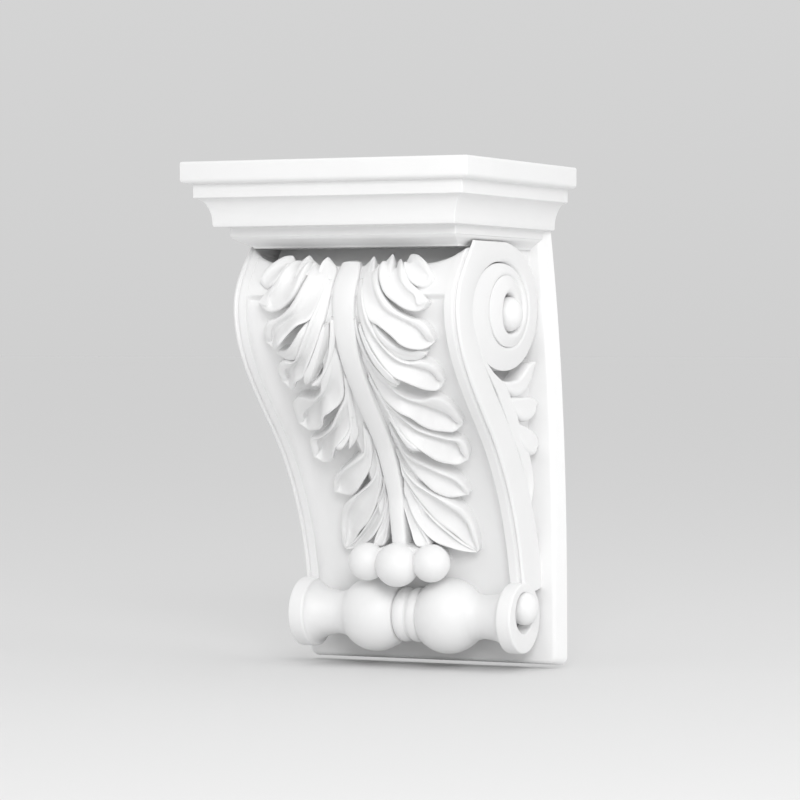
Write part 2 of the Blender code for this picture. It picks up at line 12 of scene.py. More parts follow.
import bmesh
import bpy
import numpy as np
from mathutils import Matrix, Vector


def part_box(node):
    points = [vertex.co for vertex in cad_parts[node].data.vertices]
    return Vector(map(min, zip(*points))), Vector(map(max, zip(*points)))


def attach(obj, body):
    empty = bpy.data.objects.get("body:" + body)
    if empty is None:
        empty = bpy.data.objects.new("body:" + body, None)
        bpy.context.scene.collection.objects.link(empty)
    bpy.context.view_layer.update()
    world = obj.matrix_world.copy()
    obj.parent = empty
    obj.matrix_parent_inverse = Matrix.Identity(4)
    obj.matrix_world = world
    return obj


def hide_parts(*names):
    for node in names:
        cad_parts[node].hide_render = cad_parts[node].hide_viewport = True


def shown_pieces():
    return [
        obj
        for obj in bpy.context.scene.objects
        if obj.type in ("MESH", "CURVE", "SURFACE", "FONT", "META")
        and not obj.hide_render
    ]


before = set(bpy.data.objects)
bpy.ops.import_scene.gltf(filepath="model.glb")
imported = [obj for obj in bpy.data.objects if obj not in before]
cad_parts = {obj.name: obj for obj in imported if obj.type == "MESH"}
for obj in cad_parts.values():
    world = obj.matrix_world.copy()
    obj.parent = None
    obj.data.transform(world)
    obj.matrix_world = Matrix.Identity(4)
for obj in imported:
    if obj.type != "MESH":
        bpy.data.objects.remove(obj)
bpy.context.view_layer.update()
MM = 0.001
CASTING = "corbel"
low, high = (np.array(corner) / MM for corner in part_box(CASTING))
TOP, BOTTOM = high[2], low[2]
HALF_CAP, CAP_DEPTH = high[0], -low[1]
print("the casting measures", np.round(high - low, 1), "mm")

# %% [markdown]
# All forms are surfaces over a grid of two parameters, worked out as whole arrays in
# millimetres. `shell` names the four corners of each cell, and `piece` puts shells into one
# mesh, closes its seams and poles, and turns its faces outwards. Where two forms of the
# casting meet, their shells pass into each other, as the plaster of the pattern did.

# %% Surfaces from grids
SEAM = 0.002    # millimetres: points nearer than this become one
SPECK = 0.001   # millimetres: shorter edges are dissolved


def shell(points):
    """A grid of points with its cells: (row, column) joins the next row and column.

    The last column joins the first, and the first and last rows are each closed by one flat
    face.
    """
    rows, columns = points.shape[:2]
    spots = np.arange(rows * columns).reshape(rows, columns)
    closed = np.concatenate([spots, spots[:, :1]], axis=1)
    quads = np.stack([closed[:-1, :-1], closed[:-1, 1:], closed[1:, 1:], closed[1:, :-1]], axis=-1)
    return points.reshape(-1, 3), quads.reshape(-1, 4), (spots[0], spots[-1])


def mirrored(made):
    """The same shell on the other side: x becomes -x."""
    points, quads, ends = made
    return points * (-1, 1, 1), quads, ends


def piece(name, shells, crease=35):
    """One mesh of shells in millimetres, smooth up to an angle of crease degrees."""
    starts = np.cumsum([0] + [len(points) for points, _, _ in shells])
    faces = []
    for (_, quads, ends), start in zip(shells, starts):
        faces += (quads + start).tolist()
        faces += [(end + start).tolist() for end in ends]
    mesh = bpy.data.meshes.new(name)
    mesh.from_pydata((np.concatenate([points for points, _, _ in shells]) * MM).tolist(), [], faces)
    body = bmesh.new()
    body.from_mesh(mesh)
    bmesh.ops.remove_doubles(body, verts=body.verts, dist=SEAM * MM)
    bmesh.ops.dissolve_degenerate(body, edges=body.edges, dist=SPECK * MM)
    bmesh.ops.recalc_face_normals(body, faces=body.faces)
    body.to_mesh(mesh)
    body.free()
    mesh.shade_smooth()
    mesh.set_sharp_from_angle(angle=math.radians(crease))
    item = bpy.data.objects.new(name, mesh)
    bpy.context.collection.objects.link(item)
    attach(item, "root")
    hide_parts(CASTING)
    print(name, len(mesh.polygons), "faces")


def smooth(value):
    """0 below 0, 1 above 1 and a smooth rise between: 3v^2 - 2v^3."""
    value = np.clip(value, 0.0, 1.0)
    return value * value * (3 - 2 * value)


def between(ends, share):
    """The value at share of the way from the first end to the second."""
    return ends[0] + (ends[1] - ends[0]) * share


def through(at, places, values):
    """A smooth curve through the values given at places.

    Between two places it is the cubic that leaves each with the slope of the parabola
    through that value and its two neighbours.
    """
    places, values = np.asarray(places, float), np.asarray(values, float)
    slopes = np.gradient(values, places, axis=0)
    k = np.clip(np.searchsorted(places, at, side="right") - 1, 0, len(places) - 2)
    span = places[k + 1] - places[k]
    t = (np.clip(at, places[0], places[-1]) - places[k]) / span
    if values.ndim > 1:
        span, t = span[..., None], t[..., None]
    return ((2 * t ** 3 - 3 * t ** 2 + 1) * values[k] + (t ** 3 - 2 * t ** 2 + t) * span * slopes[k]
            + (3 * t ** 2 - 2 * t ** 3) * values[k + 1] + (t ** 3 - t ** 2) * span * slopes[k + 1])


def lengths_along(knots):
    """The distance of each knot from the first, along the straight lines between them."""
    return np.concatenate([[0.0], np.cumsum(np.linalg.norm(np.diff(knots, axis=0), axis=1))])


def course(knots, shares):
    """The smooth curve through the knots, at shares of the way from the first to the last."""
    knots = np.asarray(knots, float)
    reach = lengths_along(knots)
    return through(np.clip(shares, 0.0, 1.0) * reach[-1], reach, knots)


# %% [markdown]
# The console's front follows an S: a round bulge above and a slower hollow below. It is
# three cubic curves in the Y-Z plane. The carving is then drawn on the front as if it were
# unrolled: x across, s down along the curve, and h out from the surface.

# %% The S-curve
S_KNOTS = (
    ((-110.0, 108.0), (-122.4, 92.6), (-134.8, 82.5), (-134.8, 67.1)),
    ((-134.8, 67.1), (-134.8, 41.4), (-112.9, 20.0), (-86.5, -6.4)),
    ((-86.5, -6.4), (-61.5, -31.4), (-41.5, -65.6), (-35.0, -110.0)),
)
CURVE_POINTS = 120


def bezier(knots, t):
    """The cubic with the weights (1-t)^3, 3t(1-t)^2, 3t^2(1-t) and t^3 on its four knots."""
    t = np.asarray(t)[:, None]
    a, b, c, d = np.array(knots)
    return (1 - t) ** 3 * a + 3 * t * (1 - t) ** 2 * b + 3 * t ** 2 * (1 - t) * c + t ** 3 * d


FRONT = np.concatenate([bezier(knots, np.linspace(0, 1, CURVE_POINTS)[min(k, 1):])
                        for k, knots in enumerate(S_KNOTS)])
ALONG = lengths_along(FRONT)
SLOPE = np.gradient(FRONT, ALONG, axis=0)
FRONT_LENGTH = ALONG[-1]
print("the front is", round(FRONT_LENGTH, 1), "mm long along its curve")


def on_curve(s):
    """The point of the S at s, and the direction out of it; past its ends it runs on straight."""
    held = np.clip(s, 0, FRONT_LENGTH)
    way = np.stack([np.interp(held, ALONG, SLOPE[:, k]) for k in (0, 1)], axis=-1)
    way = way / np.linalg.norm(way, axis=-1, keepdims=True)
    point = np.stack([np.interp(held, ALONG, FRONT[:, k]) for k in (0, 1)], axis=-1)
    point = point + way * (s - held)[..., None]
    return point, np.stack([way[..., 1], -way[..., 0]], axis=-1)


def on_front(x, s, h):
    """Points over the unrolled front, h millimetres out from the level of its rim."""
    x, s, h = np.broadcast_arrays(x, s, h)
    point, out = on_curve(s)
    return np.concatenate([x[..., None], point + out * h[..., None]], axis=-1)


# %% [markdown]
# The cap is a run of mouldings: a flat fascia with a rounded lower nose, a fillet, a cove, a
# second fillet and a shallow bed mould. The pattern maker runs such a profile along three
# sides and mitres it at the corners. Here the profile is a list of levels, each with its
# setback from the fascia, and each level is a rectangle with barely rounded corners.

# %% Cap
CAP_CORNER = 0.7
TOP_EDGE = ((6.0, 0.0), (1.2, 0.0), (0.25, 0.35), (0.0, 1.3))    # (setback, drop) over the arris
FASCIA_BOTTOM = TOP - 13.2
NOSE_RADIUS = 2.6
NOSE_ANGLES = (90, 70, 50, 30, 12)
UPPER_FILLET = (TOP - 13.5, TOP - 21.6)
UPPER_FILLET_SETBACK = 5.9
COVE_START = (0.8, 0.6)    # (setback, drop) from the foot of the upper fillet
COVE_SETBACK = 14.5
COVE_BOTTOM = TOP - 37.7
COVE_LEAN = 0.4
LOWER_FILLET = (TOP - 39.2, TOP - 44.9)
LOWER_SETBACK = np.array((19.6, 27.3))
LOWER_LEAN = 0.2
LOWER_ROUND = 0.3
BED_STEP = 0.8
BED_BOTTOM = TOP - 51.4
BED_SETBACK = np.array((25.6, 45.0))
EDGE_EASE = 0.5
EASE_SHARE = 0.45
PLATE_TOP = TOP - 29.0    # the back plate covers the cap's back below this
BACK_LAP = 0.3


def arc_of(centre, radius, start, end, count):
    """Points centre + radius (cos a, sin a), for a from start to end degrees."""
    a = np.radians(np.linspace(start, end, count))
    return np.stack([centre[0] + radius * np.cos(a), centre[1] + radius * np.sin(a)], axis=-1)


def eased(corners, radius, count=5):
    """A line of straight runs whose inner corners are rounded.

    Each corner becomes a parabola between the points radius before and after it, which stay
    within EASE_SHARE of their runs.
    """
    corners = np.asarray(corners, float)
    before, here, after = corners[:-2], corners[1:-1], corners[2:]
    back, on = before - here, after - here
    back_length = np.linalg.norm(back, axis=1, keepdims=True)
    on_length = np.linalg.norm(on, axis=1, keepdims=True)
    start = here + back * np.minimum(radius / back_length, EASE_SHARE)
    end = here + on * np.minimum(radius / on_length, EASE_SHARE)
    t = np.linspace(0, 1, count)[None, :, None]
    bends = (1 - t) ** 2 * start[:, None] + 2 * t * (1 - t) * here[:, None] + t ** 2 * end[:, None]
    return np.concatenate([corners[:1], bends.reshape(-1, corners.shape[1]), corners[-1:]])


def cap_levels():
    """The cap's profile, from the top down, as (setback at the sides, at the front, height)."""
    plain = [(setback, TOP - drop) for setback, drop in TOP_EDGE]
    plain += [(NOSE_RADIUS * (1 - math.sin(a)), FASCIA_BOTTOM + NOSE_RADIUS * (1 - math.cos(a)))
              for a in np.radians(NOSE_ANGLES)]
    plain += [(UPPER_FILLET_SETBACK, UPPER_FILLET[0]), (UPPER_FILLET_SETBACK, UPPER_FILLET[1])]
    turn = np.linspace(0, math.pi / 2, 14)
    start = (UPPER_FILLET_SETBACK + COVE_START[0], UPPER_FILLET[1] - COVE_START[1])
    cove = np.stack([start[0] + (COVE_SETBACK - start[0]) * np.sin(turn),
                     COVE_BOTTOM + (start[1] - COVE_BOTTOM) * np.cos(turn)], axis=-1)
    upper = np.concatenate([eased(plain, EDGE_EASE), cove])
    levels = [(setback, setback, z) for setback, z in upper]
    under_cove = COVE_SETBACK + COVE_LEAN
    levels.append((under_cove, under_cove, LOWER_FILLET[0] + LOWER_ROUND))
    levels.append((*LOWER_SETBACK, LOWER_FILLET[0]))
    levels.append((*(LOWER_SETBACK + LOWER_LEAN), LOWER_FILLET[1] + LOWER_ROUND))
    for share in np.linspace(0, 1, 9):
        setback = LOWER_SETBACK + BED_STEP + (BED_SETBACK - LOWER_SETBACK) * smooth(share)
        levels.append((*setback, between((LOWER_FILLET[1], BED_BOTTOM), share)))
    return np.array(levels)


def cap():
    """Each level is a rectangle with its front corners rounded and its back on the wall.

    Where the back plate covers it, its back lies BACK_LAP in front of the wall.
    """
    levels = cap_levels()
    half, depth = HALF_CAP - levels[:, 0], CAP_DEPTH - levels[:, 1]
    corner = arc_of((0, 0), 1, 180, 270, 6)
    left_x = -half[:, None] + CAP_CORNER * (1 + corner[:, 0])
    left_y = -depth[:, None] + CAP_CORNER * (1 + corner[:, 1])
    rear = -BACK_LAP * (levels[:, 2:] < PLATE_TOP)
    x = np.concatenate([-half[:, None], left_x, -left_x[:, ::-1], half[:, None]], axis=1)
    y = np.concatenate([rear, left_y, left_y[:, ::-1], rear], axis=1)
    z = np.broadcast_to(levels[:, 2:], x.shape)
    piece("cap", [shell(np.stack([x, y, z], axis=-1))], crease=28)


# %% [markdown]
# The back plate is a thin board against the wall. It is widest at the foot and draws in
# towards the cap, and all its front edges are drafted and softened so that the casting
# leaves its mould. It is one outline, repeated from the wall to the front.

# %% Back plate
PLATE_THICKNESS = 10.0
PLATE_HALF = 89.0
PLATE_TOP_HALF = 76.5
PLATE_POWER = 2.5
PLATE_DRAFT = 4.4
FOOT_DRAFT = 1.5
PLATE_EDGE = 2.2
PLATE_INSETS = np.array((6.0, 14.0))    # two flat rings inside the front's edge
PLATE_CORNER = 5.0
LEAST_CORNER = 1.2


def back_plate():
    """Rings of the plate's outline.

    Its half width at share f of the height is half - (half - top half) f^2.5.
    """
    turn = np.radians(np.linspace(0, 90, 6))
    depth = np.concatenate([[0.0], PLATE_THICKNESS - PLATE_EDGE * (1 - np.sin(turn)),
                            [PLATE_THICKNESS, PLATE_THICKNESS]])
    inset = np.concatenate([[0.0], PLATE_EDGE * (1 - np.cos(turn)), PLATE_EDGE + PLATE_INSETS])
    draft = depth / PLATE_THICKNESS
    half = (PLATE_HALF - PLATE_DRAFT * draft - inset)[:, None]
    top_half = (PLATE_TOP_HALF - PLATE_DRAFT * draft - inset)[:, None]
    bottom = (BOTTOM + FOOT_DRAFT * draft + inset)[:, None]
    corner = arc_of((0, 0), 1, -90, 0, 8)
    radius = np.maximum(PLATE_CORNER - inset, LEAST_CORNER)[:, None]
    share = np.linspace(0, 1, 40)[None, 1:]
    x = np.concatenate([half - radius * (1 - corner[:, 0]),
                        half - (half - top_half) * share ** PLATE_POWER], axis=1)
    z = np.concatenate([bottom + radius * (1 + corner[:, 1]),
                        between((bottom + radius, PLATE_TOP), share)], axis=1)
    x = np.concatenate([x, -x[:, ::-1]], axis=1)
    z = np.concatenate([z, z[:, ::-1]], axis=1)
    y = np.broadcast_to(-depth[:, None], x.shape)
    piece("back_plate", [shell(np.stack([x, y, z], axis=-1))])


# %% [markdown]
# The console is the S-shaped block. Its front is sunk between two raised rims, which a cove
# joins to the field. Under the cap the front rounds back into a deep hollow, so the leaf's
# top curls stand free there. One grid of cross sections makes the block.

# %% Console
HALF_CONSOLE = 76.0
HALF_FIELD = 66.0
COVE_WIDTH = 9.0
FIELD_DEPTH = 8.0
FIELD_FLAT = 48.0
FIELD_TOP = 40.5
FIELD_STEP = 3.0
FIELD_EASE = 22.0
FIELD_SHARE = 0.55
RIM_SINK = 0.4
SIDE_SUNK = 67.0
CONSOLE_BACK = -4.0
CONSOLE_ROWS = ((-26.0, -14.0, 2), (-6.0, 36.0, 60), (36.5, 47.0, 26), (48.0, 110.0, 100),
                (112.0, FRONT_LENGTH + 4.0, 60))    # runs of s as (first, last, how many)
LIP_MIDDLE = 22.5
LIP_RISE = 20.0
LIP_ROUND = 5.0
LIP_END = 0.97 * LIP_ROUND
HOLLOW_SLOPE = 3.0
HOLLOW_DEPTH = 21.0
POCKET_DEPTH = 20.0
POCKET_HALF_WIDTH = 6.0
POCKET_LOWEST = (-58.0, 27.5)
POCKET_BEND = 0.006
POCKET_MIDDLE = -42.0
POCKET_REACH = 40.0
POCKET_FADE = 12.0


def hollow(x, s):
    """How deep the hollow under the cap is: 0 below the lip, a quarter round over it, then steep.

    The lip climbs towards the corners, as 22.5 - 20 (x/76)^6.
    """
    past = LIP_MIDDLE - LIP_RISE * np.abs(x / HALF_CONSOLE) ** 6 - s
    bend = LIP_ROUND - np.sqrt(LIP_ROUND ** 2 - np.clip(past, 0, LIP_END) ** 2)
    return np.minimum(bend + HOLLOW_SLOPE * np.maximum(past - LIP_END, 0), HOLLOW_DEPTH)


def pocket(y, z):
    """Depth of the dark pocket under the volute.

    Across the arc z = 27.5 + 0.006 (y + 58)^2 it is a parabola, and it fades at both ends.
    """
    off = z - POCKET_LOWEST[1] - POCKET_BEND * (y - POCKET_LOWEST[0]) ** 2
    off = np.clip(off / POCKET_HALF_WIDTH, -1, 1)
    fade = smooth((POCKET_REACH - np.abs(y - POCKET_MIDDLE)) / POCKET_FADE)
    return POCKET_DEPTH * fade * (1 - off ** 2)


def console():
    """Cross sections from under the cap to the roll: front profile, then sides and back.

    Past its top line, the field sinks to 0.55 of its depth in a step and then to all of it.
    """
    turn = np.radians(np.linspace(0, 90, 12))
    cove_x = HALF_FIELD - COVE_WIDTH * (1 - np.sin(turn))
    cove_h = -FIELD_DEPTH + (FIELD_DEPTH - RIM_SINK) * (1 - np.cos(turn))
    x = np.concatenate([np.linspace(0, FIELD_FLAT, 13), cove_x, [SIDE_SUNK]])
    h = np.concatenate([np.full(13, -FIELD_DEPTH), cove_h, [-RIM_SINK]])
    x, h = np.concatenate([-x[:0:-1], x])[None, :], np.concatenate([h[:0:-1], h])[None, :]
    s = np.concatenate([np.linspace(*run) for run in CONSOLE_ROWS])[:, None]
    sunk = between((FIELD_SHARE, 1), smooth((s - FIELD_TOP) / FIELD_EASE))
    sunk = sunk * smooth((s - FIELD_TOP) / FIELD_STEP)
    front = on_front(x, s, -RIM_SINK + (h + RIM_SINK) * sunk - hollow(x, s))
    z = np.minimum.accumulate(front[:, :1, 2])
    y = between((front[:, -1:, 1], CONSOLE_BACK), np.linspace(0, 1, 60)[None, 1:])
    side = np.stack([SIDE_SUNK - pocket(y, z), y, z + 0 * y], axis=-1)
    points = np.concatenate([side[:, ::-1] * (-1, 1, 1), front, side], axis=1)
    piece("console", [shell(points)])


# %% [markdown]
# The carved leaf is an acanthus. Its lobes overlap like shingles: each has a raised rim along
# its upper edge, a hollow that falls steeply from the rim's inner line, and a broad round
# crest that ends in a steep wall. Each lobe is drawn by three lines on the unrolled front,
# all from the root to the tip: its upper edge, the inner line of its rim, and its lower edge.

# %% Leaf lobes
LOBE_FOOT = -9.0
LOBE_ROWS = 64
ROW_POWER = 1.8
OUTLINE_POINTS = 600
RIM_RISE = 0.9
FULL_DIP = 2.0
FULL_BOWL = 8.0
RIM_SHARE = 0.45
BOWL_SHARE = 0.4
CREST = (0.15, 0.75)    # where g starts to climb, and over how much of it
HOLLOW_POWER = 0.62
ROOT_FADE = 0.45
TIP_FADE = (1.0, 3.5)
SOFTENING = (0.3, 0.4)    # where across the lobe edge starts to give way to soft, and how far
RADIUS_LIMIT = (0.45, 0.2)    # of the width, and millimetres more
UNDERCUT = 1.0
UNDERCUT_SHARE = 0.3
WALL_LEVELS = np.array((1.0, 0.66, 0.33))
TINY = 1e-6


def lobe(place, upper, inner, tip, lower, dip, soft=2.4, edge=0.9, foot=LOBE_FOOT):
    """A closed shell for one lobe.

    Rows run from root to tip and go from the upper edge over the rim's inner line to the
    lower edge. With g = 0 at the inner line and 1 at the lower edge, the height stays at the
    upper edge's until g is 0.15, rises smoothly to the lower edge's at 0.9, and is sunk by
    the hollow, dip sin(pi g^0.62); beside a hollow the rim swells by RIM_RISE. Near the
    outline the surface rounds off on a quarter circle, whose radius goes from edge at the
    upper edge to soft at the lower one.
    """
    knots = np.array([*upper, tip, *lower], float)
    lengths = lengths_along(knots)
    turn = lengths[len(upper)] / lengths[-1]
    t = 1 - (1 - np.linspace(0, 1, LOBE_ROWS)) ** ROW_POWER
    over, under = course(knots, turn * t), course(knots, 1 - (1 - turn) * t)
    line = course([*inner, tip[:2]], t)
    rim = np.linalg.norm(line - over[:, :2], axis=1)[:, None]
    bowl = np.linalg.norm(under[:, :2] - line, axis=1)[:, None]
    width = np.maximum(rim + bowl, TINY)
    rim_ease = np.minimum(edge / np.maximum(rim, TINY), RIM_SHARE)
    bowl_ease = np.minimum(soft / np.maximum(bowl, TINY), BOWL_SHARE)
    on_rim = np.concatenate([rim_ease * np.linspace(0, 1, 5),
                             between((rim_ease, 1), np.linspace(0, 1, 6)[1:])], axis=1)
    g = np.concatenate([(1 - bowl_ease) * np.linspace(0, 1, 18)[1:],
                        1 - bowl_ease * np.linspace(1, 0, 9)[1:]], axis=1)
    f = np.concatenate([on_rim * rim, rim + g * bowl], axis=1) / width
    plan = np.concatenate([between((over[:, None, :2], line[:, None]), on_rim[..., None]),
                           between((line[:, None], under[:, None, :2]), g[..., None])], axis=1)
    outline = course(knots, np.linspace(0, 1, OUTLINE_POINTS))[None, None, :, :2]
    gap = np.sqrt(((plan[:, :, None] - outline) ** 2).sum(axis=-1)).min(axis=-1)
    to_tip = np.linalg.norm(plan - np.array(tip[:2]), axis=-1)
    strength = smooth(t[:, None] / ROOT_FADE) * smooth((to_tip - TIP_FADE[0]) / TIP_FADE[1])
    strength = strength * np.minimum(bowl / FULL_BOWL, 1)
    on_rim, g = np.concatenate([on_rim, 0 * g], axis=1), np.concatenate([0 * on_rim, g], axis=1)
    height = between((over[:, 2:], under[:, 2:]), smooth((g - CREST[0]) / CREST[1]))
    height += RIM_RISE * min(dip / FULL_DIP, 1.0) * strength * np.sin(np.pi * on_rim)
    height -= dip * strength * np.sin(np.pi * g ** HOLLOW_POWER)
    radius = between((edge, soft), smooth((f - SOFTENING[0]) / SOFTENING[1]))
    radius = np.minimum(radius, RADIUS_LIMIT[0] * width + RADIUS_LIMIT[1])
    height -= radius - np.sqrt(radius ** 2 - np.clip(radius - gap, 0, radius) ** 2)
    inward = (under - over)[:, :2]
    inward = inward / np.maximum(np.linalg.norm(inward, axis=1, keepdims=True), TINY)
    walls = []
    for rail, sign, end in ((over, 1, height[:, :1]), (under, -1, height[:, -1:])):
        drop = between((end, foot), WALL_LEVELS[None, :])
        shift = np.minimum(UNDERCUT, width * UNDERCUT_SHARE) * smooth(WALL_LEVELS)[None, :] * sign
        flat = rail[:, None, :2] + inward[:, None] * shift[..., None]
        walls.append(np.concatenate([flat, drop[..., None]], axis=-1))
    top = np.concatenate([plan, height[..., None]], axis=-1)
    grid = np.concatenate([walls[0], top, walls[1][:, ::-1]], axis=1)
    return shell(place(grid[..., 0], grid[..., 1], grid[..., 2]))


